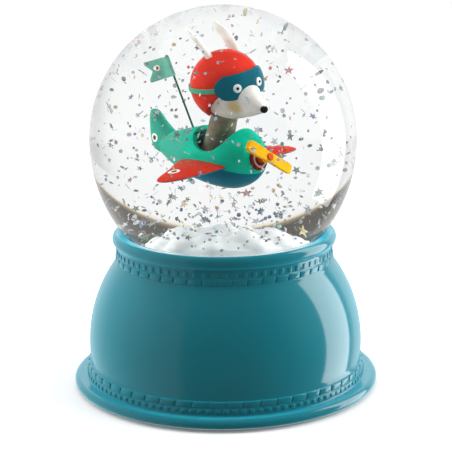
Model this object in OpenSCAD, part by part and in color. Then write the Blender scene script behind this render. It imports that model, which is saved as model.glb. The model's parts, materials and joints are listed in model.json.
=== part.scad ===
// Snow globe night light: a liquid-filled glass globe with an animal pilot in a
// toy aeroplane, on a domed base that holds the lamps, the cells and the switch.
// Millimetres, +Z up, origin at the middle of the plane the rubber feet stand on.

/* [Globe] */
// Outside diameter of the glass sphere
globe_d = 100; // [96:1:124]
// Thickness of the glass
glass_wall = 2.8; // [2:0.1:4]
// Outside diameter of the glass neck
neck_d = 60; // [54:1:72]
// Straight length of the glass neck
neck_len = 8; // [7:0.5:12]
// Height of the stopper plug inside the neck
plug_h = 7.8; // [5:0.2:9]
// Thickness of the stopper flange under the neck
stopper_flange = 2; // [1.5:0.1:4]
// Width of the gasket under the sphere
gasket_w = 2.6; // [2:0.1:4]
// Height of the gasket at its inner edge
gasket_t = 1.2; // [0.8:0.1:2]
// Diameter of the mound on the globe's floor
mound_d = 48; // [36:1:50]
// Height of the mound
mound_h = 19.5; // [14:0.5:20]

/* [Base] */
// Outside diameter of the base body
body_d = 104; // [98:1:130]
// How far the foot stands out from the body
foot_overhang = 6; // [4:0.5:10]
// Thickness of the foot
foot_t = 3.8; // [3.4:0.1:6]
// Height at which the dome starts
dome_z = 17; // [14:0.5:30]
// Wall of the base
base_wall = 2.6; // [2:0.1:4]
// Height of each rope band
rope_h = 2.7; // [2:0.1:4]
// Height of each dentil band
dentil_h = 2.8; // [2:0.1:4]
// Height of the rounded rim
rim_h = 5.5; // [4.5:0.1:8]
// Depth of the gasket ledge below the rim
seat_depth = 4.1; // [3:0.1:5]
// Width of the sloped lip between ledge and rim
collar_land = 5.2; // [4.5:0.1:8]

/* [Aeroplane] */
// Length of the fuselage
plane_len = 40; // [34:1:48]
// Largest diameter of the fuselage
fuselage_d = 18.6; // [16:0.2:21]
// Tip to tip width of the wings
wing_span = 58; // [48:1:64]
// Thickness of each wing
wing_t = 2.6; // [1.6:0.1:4]
// Tip to tip size of the propeller
propeller_d = 21; // [16:0.5:24]
// Diameter of the pilot's head
head_d = 18; // [14:0.5:20]
// Length of each ear
ear_len = 12.5; // [8:0.5:15]
// Turn of the nose away from +X towards the front
plane_yaw = 41; // [0:1:90]
// Bank of the wings
plane_bank = 3; // [0:1:8]
// Upward tilt of the propeller shaft
shaft_tilt = 15; // [5:1:20]

/* [Cells and plate] */
// Diameter of one cell
cell_d = 10.5; // [10:0.1:14.5]
// Length of one cell with its button
cell_len = 44.5; // [40:0.5:51]
// Thickness of the bottom plate
plate_t = 2.4; // [2.4:0.1:4]
// Thickness of the battery door
door_t = 2; // [1.8:0.1:3]
// How far the rubber feet stand proud of the base
foot_proud = 0.8; // [0.5:0.1:2]
// Travel of the switch knob
switch_travel = 3; // [2:0.5:4]

/* [Hidden] */
$fn = 96;
// Fits and gaps
eps = 0.02;
glue_gap = 0.1;
seal_gap = 0.03;
cup_gap = 0.4;
gasket_inset = 0.6;
gasket_gap = 0.3;
plate_gap = 0.3;
door_gap = 0.3;
thread_gap = 0.02;
shaft_gap = 0.05;
slide_gap = 0.2;
lift_gap = 0.15;
fluid_gap = 0.5;

// Glass and its seat
globe_r = globe_d / 2;
glass_in_r = globe_r - glass_wall;
neck_r = neck_d / 2;
bore_r = neck_r - glass_wall;
cup_wall = 2;
cup_in_r = neck_r + glue_gap;
cup_out_r = cup_in_r + cup_wall;
hole_r = cup_out_r + cup_gap;
gasket_in_r = hole_r + gasket_inset;
gasket_out_r = gasket_in_r + gasket_w;
ledge_r = gasket_out_r + gasket_gap;
collar_r = ledge_r + collar_land;

// Base heights and radii
body_r = body_d / 2;
inner_r = body_r - base_wall;
foot_r = body_r + foot_overhang;
foot_round = foot_t / 2;
foot_top = foot_proud + foot_t;
lower_dentil_r = body_r + 1.4;
lower_rope_r = body_r - 0.4;
lower_rope_z = foot_top + dentil_h;
collar_z = dome_z + sqrt(body_r * body_r - collar_r * collar_r);
rim_z = collar_z + rope_h + dentil_h;
crest_z = rim_z + rim_h;
rim_round = rim_h / 2;
rim_cx = collar_r + 1.2 - rim_round;
seat_z = crest_z - seat_depth;
deck_t = 3;
deck_z = seat_z - deck_t;
gasket_h = gasket_t + 1;

// Globe heights
globe_z = seat_z + gasket_t + sqrt(globe_r * globe_r - gasket_in_r * gasket_in_r);
neck_top = globe_z - sqrt(globe_r * globe_r - neck_r * neck_r);
neck_end = neck_top - neck_len;
plug_top = neck_end + plug_h;
mound_r = mound_d / 2;
mound_top = plug_top + mound_h;

// Cup and lamp board
cup_floor_top = neck_end - stopper_flange;
cup_floor = cup_floor_top - cup_wall;
cup_top = neck_top - 0.6;
window_r = bore_r - 10;
boss_r = 2.6;
boss_at = hole_r + boss_r + lift_gap;
lug_angles = [30, 150, 270];
standoff_h = 2;
standoff_r = 2.2;
standoff_at = window_r + standoff_r + 1.6;
board_t = 1.6;
board_top = cup_floor - standoff_h;
board_z = board_top - board_t;
board_r = standoff_at + standoff_r + 0.6;
lamp_r = 2.5;
lamp_at = 9;
lamp_angles = [0, 120, 240];

// Screws: head radius, head height, shank radius, shank length
plate_screw = [2.6, 1.4, 1.3, 9];
cup_screw = [2.3, 1.4, 1.1, 7];
board_screw = [1.8, 1, 0.9, 3.2];
door_screw_size = [2.2, 1.2, 1.1, 6];
switch_screw = [1.6, 0.9, 0.8, 3.2];

// Bottom plate
plate_z = foot_proud + slide_gap;
plate_top = plate_z + plate_t;
recess_r = inner_r + 2.2;
plate_r = recess_r - plate_gap;
post_r = 3.4;
post_at = inner_r - post_r - 1.5;
post_angles = [45, 135, 225, 315];
pad_r = 5;
pad_sink = 0.8;
pad_at = post_at - 2.5;
pad_angles = [0, 90, 180, 270];

// Battery box
cell_count = 3;
cell_pitch = cell_d + 0.7;
cell_r = cell_d / 2;
button_len = 1.2;
button_r = 1.9;
contact_t = 0.4;
contact_w = 8;
spring_room = 4.2;
box_x = cell_len + spring_room + 2 * contact_t;
box_y = cell_count * cell_pitch + 0.8;
box_wall = 1.6;
door_ledge = 1.2;
door_top = plate_z + door_t;
box_z = door_top + slide_gap;
cell_z = box_z + 0.3 + cell_r;
box_top = cell_z + cell_r + 0.5;
roof_top = box_top + box_wall;
frame_side = 2.2;
frame_top = box_z + 3;
door_x = box_x + 2 * door_ledge;
door_y = box_y + 2 * door_ledge;
lug_run = 6.5;
lug_w = 8;
door_screw_x = door_x / 2 + lug_run / 2 + 0.4;
door_boss_top = box_z + 5.5;
tab_w = 4;
tab_run = 1.6;
tab_t = 0.9;
tab_y = 8;
wire_r = 0.3;
spring_turns = 3.5;

// Switch
switch_y = box_y / 2 + 14;
knob_x = 4.4;
knob_y = 2.6;
knob_low = 0.4;
slot_x = knob_x + switch_travel + 2 * slide_gap;
slot_y = knob_y + 2 * slide_gap;
skirt_x = slot_x + 2;
skirt_y = 4;
skirt_t = 0.9;
skirt_z = plate_top + lift_gap;
stem_x = 1.6;
stem_y = 1.4;
stem_h = 2;
switch_z = skirt_z + skirt_t + lift_gap;
switch_x = skirt_x + switch_travel + 4;
switch_w = 6.5;
switch_h = 5.5;
ear_t = 1;
ear_run = 4.5;
ear_hole_x = switch_x / 2 + ear_run / 2;
rail_w = 1.2;
lead_r = 0.6;

// Aeroplane frame and sections
fig_x = -2.5;
fig_drop = 4.2;
fig_z = globe_z - fig_drop;
fuselage_r = fuselage_d / 2;
nose_u = plane_len * 0.43;
tail_u = nose_u - plane_len;
fat_u = plane_len * 0.15;
front_run = plane_len * 0.29;
rear_run = fat_u - tail_u + 0.5;
split_w = -fuselage_r / 2;
saddle_r = 7.6;
saddle_u = 1.6;
saddle_w = fuselage_r + 0.5;
well_r = 5.2;
well_floor = -2;
rod_r = 1.5;
rod_sink = 3.5;
wing_w = split_w + 1.2;
wing_root_rear = -8;
wing_root_front = 10.5;
wing_tip_r = 5;
wing_tip_u = 1.5;
fin_t = 2.2;
fin_foot = 1;
fin_top = fuselage_r * 1.1;
fin_run = 10;

// Nose, pin and propeller
nose_plate_r = 2.6;
nose_ring_r = 3.3;
nose_plate_t = 1;
nose_cut_u = nose_u - 0.6;
pin_r = 0.9;
pin_sink = 3;
hub_r = 2;
hub_t = 2.2;
hub_gap = 2.2;
pin_head_r = 1.2;
blade_w = 3.8;
blade_t = 1.1;
blade_lean = -36;

// Pilot
head_r = head_d / 2;
head_u = 4;
head_turn = 8;
head_w = fuselage_r + head_r + 2.9;
helmet_t = 1.1;
helmet_r = head_r + helmet_t;
strap_t = 0.6;
strap_h = 2.6;
collar_h = 3;
throat_r = 3.9;
throat_top = head_w - head_r + 2.5;
snout_drop = 15;
snout_len = head_r + 5.6;
snout_r = 2.2;
snout_back_r = 6.2;
nose_tip_r = 1.3;
nose_lift = 2;
goggle_r = 3.7;
goggle_wall = 0.8;
goggle_depth = 2.4;
goggle_angle = 27;
goggle_lift = 12;
lens_t = 1.2;
ear_r = 1.7;
ear_tip_r = 1.1;
ear_u = 0;
ear_side = 4.6;
ear_w = helmet_r * 0.57;
ear_back = 50;
ear_splay = 2.6;
ear_root = 2;

// Mast and flag
mast_r = 0.45;
mast_u = -7.4;
mast_w = 5.7;
mast_lean = 19;
mast_len = 21;
mast_sink = 3;
flag_t = 0.9;
flag_len = 8.6;
flag_h = 4.8;
flag_droop = 5;
flag_sleeve_r = 0.9;

// Glitter
star_count = 44;
dot_count = 120;
star_r = 1.5;
dot_r = 0.7;
flake_t = 0.2;

// Shared shapes

// Round screw standing on its head at z = 0 with a cross recess
module screw(size) {
    difference() {
        union() {
            cylinder(r = size[0], h = size[1]);
            translate([0, 0, size[1] - eps]) cylinder(r = size[2], h = size[3] + eps);
        }
        for (turn = [0, 90])
            rotate([0, 0, turn])
                translate([-size[0] * 0.6, -0.3, -1]) cube([size[0] * 1.2, 0.6, 1.5]);
    }
}

// Copies of the children at a radius and a list of angles
module around(radius, angles) {
    for (angle = angles)
        rotate([0, 0, angle]) translate([radius, 0, 0]) children();
}

// Box given by its middle in x and y and by its lower and upper height
module slab(x, y, low, high) {
    translate([-x / 2, -y / 2, low]) cube([x, y, high - low]);
}

// Round tube along a list of points
module tube(points, radius, sides) {
    count = len(points);
    ahead = [for (i = [0:count - 1])
        let (d = points[min(i + 1, count - 1)] - points[max(i - 1, 0)]) d / norm(d)];
    across = [for (i = [0:count - 1])
        let (c = cross(ahead[i], abs(ahead[i][1]) < 0.9 ? [0, 1, 0] : [1, 0, 0])) c / norm(c)];
    rings = [for (i = [0:count - 1], k = [0:sides - 1])
        points[i] + radius * (across[i] * cos(360 * k / sides)
            + cross(ahead[i], across[i]) * sin(360 * k / sides))];
    walls = [for (i = [0:count - 2], k = [0:sides - 1])
        [i * sides + k, i * sides + (k + 1) % sides,
            (i + 1) * sides + (k + 1) % sides, (i + 1) * sides + k]];
    low_cap = [for (k = [0:sides - 1]) sides - 1 - k];
    high_cap = [for (k = [0:sides - 1]) (count - 1) * sides + k];
    polyhedron(points = rings, faces = concat(walls, [low_cap, high_cap]));
}

// Points of a smooth curve through four control points
function curve(a, b, c, d, steps) = [for (i = [0:steps])
    let (t = i / steps, s = 1 - t)
    a * s * s * s + b * 3 * s * s * t + c * 3 * s * t * t + d * t * t * t];

// Figure frame: +X along the nose, +Y to the left wing, +Z up
module figure_frame() {
    translate([fig_x, 0, fig_z]) rotate([0, 0, -plane_yaw]) rotate([plane_bank, 0, 0]) children();
}

// Frame of the propeller shaft, +Z out of the nose
module shaft_frame() {
    figure_frame() translate([nose_cut_u, 0, 0]) rotate([0, 90 - shaft_tilt, 0]) children();
}

// Frame of the pilot's head, +X along the nose
module head_frame() {
    figure_frame() translate([head_u, 0, head_w]) rotate([0, 0, -head_turn]) children();
}

// Globe

module glass_section() {
    intersection() {
        difference() {
            union() {
                translate([0, globe_z]) circle(r = globe_r);
                translate([0, neck_end]) square([neck_r, globe_z - neck_end]);
            }
            translate([0, globe_z]) circle(r = glass_in_r);
            translate([-1, neck_end - 1]) square([bore_r + 1, globe_z - neck_end]);
        }
        translate([0, neck_end]) square([globe_d, globe_d * 2]);
    }
}

module glass_globe() {
    color([0.92, 0.97, 0.98, 0.3]) rotate_extrude() glass_section();
}

module sealing_stopper() {
    color([0.85, 0.85, 0.83]) {
        translate([0, 0, neck_end - stopper_flange]) cylinder(r = neck_r, h = stopper_flange);
        translate([0, 0, neck_end - eps]) cylinder(r = bore_r - seal_gap, h = plug_h + eps);
    }
}

module globe_gasket() {
    color([0.75, 0.75, 0.75]) difference() {
        translate([0, 0, seat_z]) cylinder(r = gasket_out_r, h = gasket_h);
        translate([0, 0, seat_z - 1]) cylinder(r = gasket_in_r, h = gasket_h + 2);
        translate([0, 0, globe_z]) sphere(r = globe_r, $fn = 128);
    }
}

// Outline of the mound: rounded shoulder and rounded top
function mound_at(t) = [mound_r * pow(cos(t), 0.6), mound_h * pow(sin(t), 0.8)];

module mound_solid() {
    translate([0, 0, plug_top]) rotate_extrude()
        polygon(concat([[0, 0]], [for (i = [0:12]) mound_at(7.5 * i * 0.999)], [[0, mound_h]]));
}

module rod_solid(gap) {
    translate([fig_x, 0, mound_top - rod_sink * 1.5])
        cylinder(r = rod_r + gap, h = rod_end - mound_top + rod_sink * 1.5 + gap);
}

module snow_mound() {
    color([0.95, 0.95, 0.97]) difference() {
        mound_solid();
        rod_solid(glue_gap);
    }
}

module support_rod() {
    color([0.9, 0.95, 0.96, 0.5]) rod_solid(0);
}

// Aeroplane

// Radius of the fuselage along its length
function fuselage_at(u) = u > fat_u
    ? fuselage_r * sqrt(1 - pow((u - fat_u) / front_run, 2))
    : fuselage_r * (1 - pow((fat_u - u) / rear_run, 2));
rod_end = fig_z - fuselage_at(0) + rod_sink;

module fuselage_solid() {
    steps = 22;
    difference() {
        rotate([0, 90, 0]) rotate_extrude()
            polygon(concat([[0, tail_u]],
                [for (i = [0:steps]) let (u = tail_u + plane_len * i / steps) [fuselage_at(u), u]],
                [[0, nose_u]]));
        translate([nose_cut_u, 0, 0]) rotate([0, 90 - shaft_tilt, 0])
            cylinder(r = fuselage_d, h = fuselage_r);
    }
}

module fuselage_upper() {
    color([0.12, 0.62, 0.48]) difference() {
        figure_frame() difference() {
            fuselage_solid();
            slab(plane_len * 2, fuselage_d * 2, -fuselage_d, split_w);
            translate([saddle_u, fuselage_d, saddle_w]) rotate([90, 0, 0])
                cylinder(r = saddle_r, h = fuselage_d * 2);
            translate([0, 0, well_floor]) cylinder(r = well_r, h = fuselage_d);
            wing_solid(1);
            wing_solid(-1);
            mast_solid(glue_gap);
        }
        shaft_frame() translate([0, 0, -pin_sink - glue_gap])
            cylinder(r = pin_r + glue_gap, h = fuselage_d);
    }
}

module fuselage_belly() {
    color([0, 0.38, 0.5]) difference() {
        figure_frame() intersection() {
            fuselage_solid();
            slab(plane_len * 2, fuselage_d * 2, -fuselage_d, split_w);
        }
        rod_solid(glue_gap);
    }
}

// Half wing on one side, clear of the belly below it
module wing_solid(side) {
    tip_v = wing_span / 2 - wing_tip_r;
    root_v = fuselage_r * 0.55;
    mirror([0, side < 0 ? 1 : 0, 0]) translate([0, 0, wing_w]) linear_extrude(wing_t) {
        polygon([[wing_root_rear, root_v], [wing_root_front, root_v],
            [wing_tip_u + wing_tip_r * 0.97, tip_v], [wing_tip_u - wing_tip_r * 0.97, tip_v]]);
        translate([wing_tip_u, tip_v]) circle(r = wing_tip_r);
    }
}

module right_wing() {
    color([0.84, 0.22, 0.13]) figure_frame() wing_solid(-1);
}

module left_wing() {
    color([0.84, 0.22, 0.13]) figure_frame() wing_solid(1);
}

module fin_plate() {
    translate([0, fin_t / 2, 0]) rotate([90, 0, 0]) linear_extrude(fin_t)
        polygon([[tail_u, -fin_foot], [tail_u - 0.4, fin_top * 0.77], [tail_u + 1.2, fin_top],
            [tail_u + fin_run * 0.3, fin_top * 0.9], [tail_u + fin_run * 0.76, fin_top * 0.45],
            [tail_u + fin_run, 0]]);
}

module tail_fin() {
    color([0.2, 0.68, 0.56]) figure_frame() difference() {
        fin_plate();
        fuselage_solid();
    }
}

module nose_ring() {
    color([0.93, 0.75, 0.72]) shaft_frame() difference() {
        cylinder(r = nose_ring_r, h = nose_plate_t);
        translate([0, 0, -1]) cylinder(r = nose_plate_r + glue_gap, h = nose_plate_t + 2);
    }
}

module nose_plate() {
    color([0.5, 0.16, 0.14]) shaft_frame() difference() {
        cylinder(r = nose_plate_r, h = nose_plate_t);
        translate([0, 0, -1]) cylinder(r = pin_r + glue_gap, h = nose_plate_t + 2);
    }
}

hub_low = nose_plate_t + hub_gap;
hub_high = hub_low + hub_t;

module propeller_pin() {
    color([0.85, 0.3, 0.15]) shaft_frame() {
        translate([0, 0, -pin_sink]) cylinder(r = pin_r, h = pin_sink + hub_high + lift_gap + eps);
        difference() {
            translate([0, 0, hub_high + lift_gap]) sphere(r = pin_head_r);
            translate([0, 0, hub_high + lift_gap - pin_head_r])
                cylinder(r = pin_head_r * 2, h = pin_head_r);
        }
        translate([0, 0, nose_plate_t + hub_gap / 2 - lift_gap])
            cylinder(r = pin_head_r, h = hub_gap / 2);
    }
}

module propeller() {
    blade_v = propeller_d / 2 - blade_w / 2;
    color([1, 0.7, 0.05]) shaft_frame() difference() {
        union() {
            translate([0, 0, hub_low]) cylinder(r = hub_r, h = hub_t);
            rotate([0, 0, blade_lean]) translate([0, 0, hub_low + (hub_t - blade_t) / 2])
                linear_extrude(blade_t) {
                    polygon([[-1, 0.3], [-blade_w * 0.48, blade_v], [blade_w * 0.48, blade_v], [1, 0.3],
                        [1, -0.3], [blade_w * 0.48, -blade_v], [-blade_w * 0.48, -blade_v], [-1, -0.3]]);
                    translate([0, blade_v]) circle(r = blade_w / 2);
                    translate([0, -blade_v]) circle(r = blade_w / 2);
                }
        }
        translate([0, 0, hub_low - 1]) cylinder(r = pin_r + shaft_gap, h = hub_t + 2);
    }
}

// Frame of the mast, +Z along it
module mast_frame() {
    translate([mast_u, 0, mast_w]) rotate([0, -mast_lean, 0]) children();
}

module mast_solid(gap) {
    mast_frame() translate([0, 0, -mast_sink]) cylinder(r = mast_r + gap, h = mast_len + mast_sink);
}

module flag_mast() {
    color([0.1, 0.3, 0.25]) figure_frame() mast_solid(0);
}

module flag() {
    top = mast_len - 0.3;
    color([0.3, 0.7, 0.58]) figure_frame() mast_frame() difference() {
        union() {
            translate([0, 0, top - flag_h]) cylinder(r = flag_sleeve_r, h = flag_h);
            translate([0, flag_t / 2, top]) rotate([90, 0, 0]) rotate([0, 0, flag_droop])
                linear_extrude(flag_t)
                    polygon([[-0.1, -0.1], [-flag_len, -0.4], [-flag_len + 2.2, -flag_h / 2],
                        [-flag_len, -flag_h], [-1.9, -flag_h]]);
        }
        translate([0, 0, top - flag_h - 3]) cylinder(r = mast_r + glue_gap, h = flag_h + 6);
    }
}

// Pilot

module pilot_neck() {
    color([0.5, 0.46, 0.4]) figure_frame() {
        translate([0, 0, well_floor]) cylinder(r = well_r - slide_gap, h = collar_h);
        translate([0, 0, well_floor + 1]) cylinder(r = throat_r, h = throat_top - well_floor - 1);
    }
}

module snout_solid() {
    rotate([0, 90 + snout_drop, 0]) {
        cylinder(r1 = snout_back_r, r2 = snout_r, h = snout_len);
        translate([0, 0, snout_len]) sphere(r = snout_r * 1.02);
    }
}

module nose_ball() {
    rotate([0, 90 + snout_drop - nose_lift, 0]) translate([0, 0, snout_len + snout_r * 0.95])
        sphere(r = nose_tip_r);
}

module goggle_place(side) {
    rotate([0, 0, side * goggle_angle]) rotate([0, 90 - goggle_lift, 0])
        translate([0, 0, sqrt(head_r * head_r - goggle_r * goggle_r) - 0.6]) children();
}

module pilot_head() {
    color([0.93, 0.9, 0.84]) difference() {
        head_frame() difference() {
            union() {
                // Poles at the sides, clear of the throat
                rotate([90, 0, 0]) sphere(r = head_r);
                snout_solid();
            }
            nose_ball();
            for (side = [-1, 1])
                goggle_place(side) cylinder(r = goggle_r, h = head_r);
        }
        figure_frame() translate([0, 0, throat_top - head_r])
            cylinder(r = throat_r + glue_gap, h = head_r + glue_gap);
    }
}

module nose_tip() {
    color([0.06, 0.06, 0.07]) head_frame() nose_ball();
}

module flying_helmet() {
    color([0.86, 0.24, 0.15]) difference() {
        head_frame() difference() {
            sphere(r = helmet_r);
            sphere(r = head_r + eps);
            rotate([0, -12, 0]) translate([2.2, -head_d, -head_d]) cube([head_d, head_d * 2, head_d * 2]);
            translate([-head_d, -head_d, -head_d]) cube([head_d * 2, head_d * 2, head_d - head_r * 0.62]);
        }
    }
}

module goggle_frames() {
    color([0, 0.43, 0.52]) head_frame() difference() {
        for (side = [-1, 1])
            goggle_place(side) cylinder(r = goggle_r - eps, h = goggle_depth);
        for (side = [-1, 1])
            goggle_place(side) translate([0, 0, goggle_depth - lens_t])
                cylinder(r = goggle_r - goggle_wall, h = head_r);
    }
}

module goggle_lenses() {
    color([0.95, 0.96, 0.96]) head_frame()
        for (side = [-1, 1])
            goggle_place(side) translate([0, 0, goggle_depth - lens_t])
                cylinder(r = goggle_r - goggle_wall - eps, h = lens_t * 0.7);
}

module goggle_strap() {
    color([0.33, 0.65, 0.5]) head_frame() difference() {
        intersection() {
            sphere(r = helmet_r + strap_t);
            translate([-head_d * 2 + 1.6, -head_d, -strap_h / 2]) cube([head_d * 2, head_d * 2, strap_h]);
        }
        sphere(r = helmet_r + eps);
    }
}

// Frame of one ear, +Z along it from inside the helmet
module ear_frame(side) {
    translate([ear_u, side * ear_side, ear_w]) rotate([-side * ear_splay, -ear_back,
        0]) children();
}

module ear_solid(side) {
    difference() {
        ear_frame(side) {
            cylinder(r1 = ear_r, r2 = ear_tip_r, h = ear_len + ear_root);
            translate([0, 0, ear_len + ear_root]) sphere(r = ear_tip_r * 1.02);
        }
        sphere(r = helmet_r + eps);
    }
}

module right_ear() {
    color([0.93, 0.88, 0.8]) head_frame() ear_solid(-1);
}

module left_ear() {
    color([0.93, 0.88, 0.8]) head_frame() ear_solid(1);
}

// Liquid and glitter

module propeller_sweep() {
    shaft_frame() translate([0, 0, -pin_sink])
        cylinder(r = propeller_d / 2 + fluid_gap, h = pin_sink + hub_high + pin_head_r + fluid_gap);
}

// Simple solid that holds the aeroplane and its pilot, grown by the gap to the liquid
module figure_room() {
    figure_frame() {
        translate([nose_u - plane_len / 2, 0, 0])
            slab(plane_len + 4 * fluid_gap, fuselage_d + 2 * fluid_gap, -fuselage_r - fluid_gap,
                fuselage_r + fluid_gap);
        translate([(wing_root_front + wing_root_rear) / 2, 0, 0])
            slab(wing_root_front - wing_root_rear + 2 * fluid_gap, wing_span + 2 * fluid_gap,
                wing_w - fluid_gap, wing_w + wing_t + fluid_gap);
        translate([tail_u + fin_run / 2 - 2 * fluid_gap, 0, 0])
            slab(fin_run, fin_t + 2 * fluid_gap, -fin_foot - fluid_gap, fin_top + fluid_gap);
        mast_frame() {
            cylinder(r = flag_sleeve_r + fluid_gap, h = mast_len + fluid_gap);
            translate([-flag_len / 2, 0, mast_len - flag_h])
                slab(flag_len + 4 * fluid_gap, flag_t + 2 * fluid_gap, -flag_h / 2, flag_h + fluid_gap);
        }
        cylinder(r = well_r + fluid_gap, h = head_w);
        translate([head_u, 0, head_w]) rotate([0, 0, -head_turn]) {
            sphere(r = helmet_r + strap_t + fluid_gap);
            rotate([0, 90 + snout_drop, 0])
                cylinder(r = snout_back_r + 2 * fluid_gap,
                    h = snout_len + snout_r + nose_tip_r + fluid_gap);
            for (side = [-1, 1])
                ear_frame(side)
                    cylinder(r = ear_r + fluid_gap, h = ear_len + ear_root + ear_tip_r + 2 * fluid_gap);
        }
    }
}

module liquid_fill() {
    color([0.85, 0.95, 1, 0.2]) difference() {
        union() {
            translate([0, 0, globe_z]) sphere(r = glass_in_r - seal_gap, $fn = 128);
            translate([0, 0, plug_top + eps]) cylinder(r = bore_r - seal_gap, h = globe_z - plug_top);
        }
        slab(globe_d * 2, globe_d * 2, 0, plug_top + eps);
        translate([0, 0, plug_top]) cylinder(r = mound_r + fluid_gap, h = mound_h + fluid_gap);
        rod_solid(fluid_gap);
        propeller_sweep();
        figure_room();
    }
}

// Place of a point in the figure frame
function to_figure(p) = let (x = p[0] - fig_x, z = p[2] - fig_z,
    u = x * cos(plane_yaw) - p[1] * sin(plane_yaw),
    v = x * sin(plane_yaw) + p[1] * cos(plane_yaw))
    [u, v * cos(plane_bank) + z * sin(plane_bank), z * cos(plane_bank) - v * sin(plane_bank)];

function outside(x, low, high) = x < low || x > high;

// True where a flake touches neither figure, mound, rod nor glass
function is_free(p) = let (f = to_figure(p), reach = star_r + 1.5, side = norm([p[0], p[1]]))
    norm(p - [0, 0, globe_z]) < glass_in_r - reach
    && (p[2] > mound_top + reach || side > mound_r + reach)
    && p[2] > plug_top + reach + 1
    && norm([p[0] - fig_x, p[1]]) > rod_r + reach
    && (outside(f[0], tail_u - reach, nose_u + hub_high + pin_head_r + reach)
        || norm([f[1], f[2]]) > propeller_d / 2 + reach)
    && (outside(f[0], wing_root_rear - reach, wing_root_front + reach)
        || outside(f[2], wing_w - reach, wing_w + wing_t + reach) || abs(f[1]) > wing_span / 2 + reach)
    && (outside(f[0], tail_u - reach, head_u + snout_len + snout_r + nose_tip_r + reach)
        || abs(f[1]) > helmet_r + reach || outside(f[2], 0, head_w + helmet_r + ear_len + reach));

function flake_places(count, seed) = let (
    turn = rands(0, 360, count * 3, seed), lift = rands(-0.95, 0.97, count * 3, seed + 1),
    deep = rands(0.3, 1, count * 3, seed + 2))
    [for (i = [0:count * 3 - 1])
        let (r = glass_in_r * pow(deep[i], 0.45), w = sqrt(1 - lift[i] * lift[i]),
            p = [r * w * cos(turn[i]), r * w * sin(turn[i]), globe_z + r * lift[i]])
        if (is_free(p)) p];

module star_plate() {
    linear_extrude(flake_t)
        polygon([for (k = [0:9]) (k % 2 == 0 ? star_r : star_r * 0.45) * [cos(36 * k), sin(36 * k)]]);
}

module star_glitter() {
    places = flake_places(star_count, 11);
    tilt = rands(0, 180, len(places) * 2, 31);
    color([0.75, 0.77, 0.8])
        for (i = [0:min(star_count, len(places)) - 1])
            translate(places[i]) rotate([tilt[2 * i], tilt[2 * i + 1], 0]) star_plate();
}

module dot_glitter() {
    places = flake_places(dot_count, 57);
    tilt = rands(0, 180, len(places) * 2, 71);
    color([0.7, 0.72, 0.78])
        for (i = [0:min(dot_count, len(places)) - 1])
            translate(places[i]) rotate([tilt[2 * i], tilt[2 * i + 1], 0])
                cylinder(r = dot_r, h = flake_t, $fn = 24);
}

// Base

module base_section() {
    translate([0, foot_proud]) square([foot_r - foot_round, foot_t]);
    translate([foot_r - foot_round, foot_proud + foot_round]) circle(r = foot_round);
    translate([0, foot_proud]) square([body_r, dome_z - foot_proud]);
    translate([0, foot_top - eps]) square([lower_dentil_r, dentil_h + eps]);
    translate([lower_rope_r, lower_rope_z + rope_h / 2]) circle(r = rope_h / 2);
    intersection() {
        translate([0, dome_z]) circle(r = body_r);
        translate([0, dome_z - eps]) square([body_r, collar_z - dome_z + eps]);
    }
    translate([0, collar_z - eps]) square([collar_r, rim_z - collar_z + rim_round]);
    translate([collar_r - rope_h * 0.25, collar_z + rope_h / 2]) circle(r = rope_h / 2);
    translate([rim_cx, rim_z + rim_round]) circle(r = rim_round);
    polygon([[0, rim_z - eps], [collar_r, rim_z - eps], [rim_cx + rim_round * 0.5, rim_z + rim_round],
        [rim_cx, crest_z - eps], [ledge_r, seat_z + gasket_h], [0, seat_z + gasket_h]]);
}

module base_hollow() {
    square([recess_r, plate_top]);
    square([inner_r, dome_z]);
    intersection() {
        translate([0, dome_z]) circle(r = inner_r);
        translate([0, dome_z - 1]) square([inner_r, deck_z - dome_z + 1]);
    }
    square([hole_r, crest_z * 2]);
    translate([0, seat_z]) square([ledge_r, crest_z]);
}

module base_shell() {
    color([0.1, 0.52, 0.58]) difference() {
        union() {
            rotate_extrude() intersection() {
                difference() {
                    base_section();
                    base_hollow();
                }
                translate([0, foot_proud]) square([foot_r * 2, crest_z * 2]);
            }
            intersection() {
                around(post_at, post_angles)
                    translate([0, 0, plate_top]) cylinder(r = post_r, h = body_d, $fn = 48);
                union() {
                    cylinder(r = body_r - base_wall / 2, h = dome_z);
                    translate([0, 0, dome_z]) sphere(r = body_r - base_wall / 2, $fn = 128);
                }
            }
            around(boss_at, lug_angles)
                translate([0, 0, cup_floor_top])
                    cylinder(r = boss_r, h = deck_z - cup_floor_top + 1, $fn = 48);
        }
        around(post_at, post_angles)
            cylinder(r = plate_screw[2] + thread_gap,
                h = plate_z + plate_screw[1] + plate_screw[3] + 1, $fn = 32);
        around(boss_at, lug_angles)
            translate([0, 0, cup_floor - 1])
                cylinder(r = cup_screw[2] + thread_gap, h = cup_screw[3] + 1.5, $fn = 32);
    }
}

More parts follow.
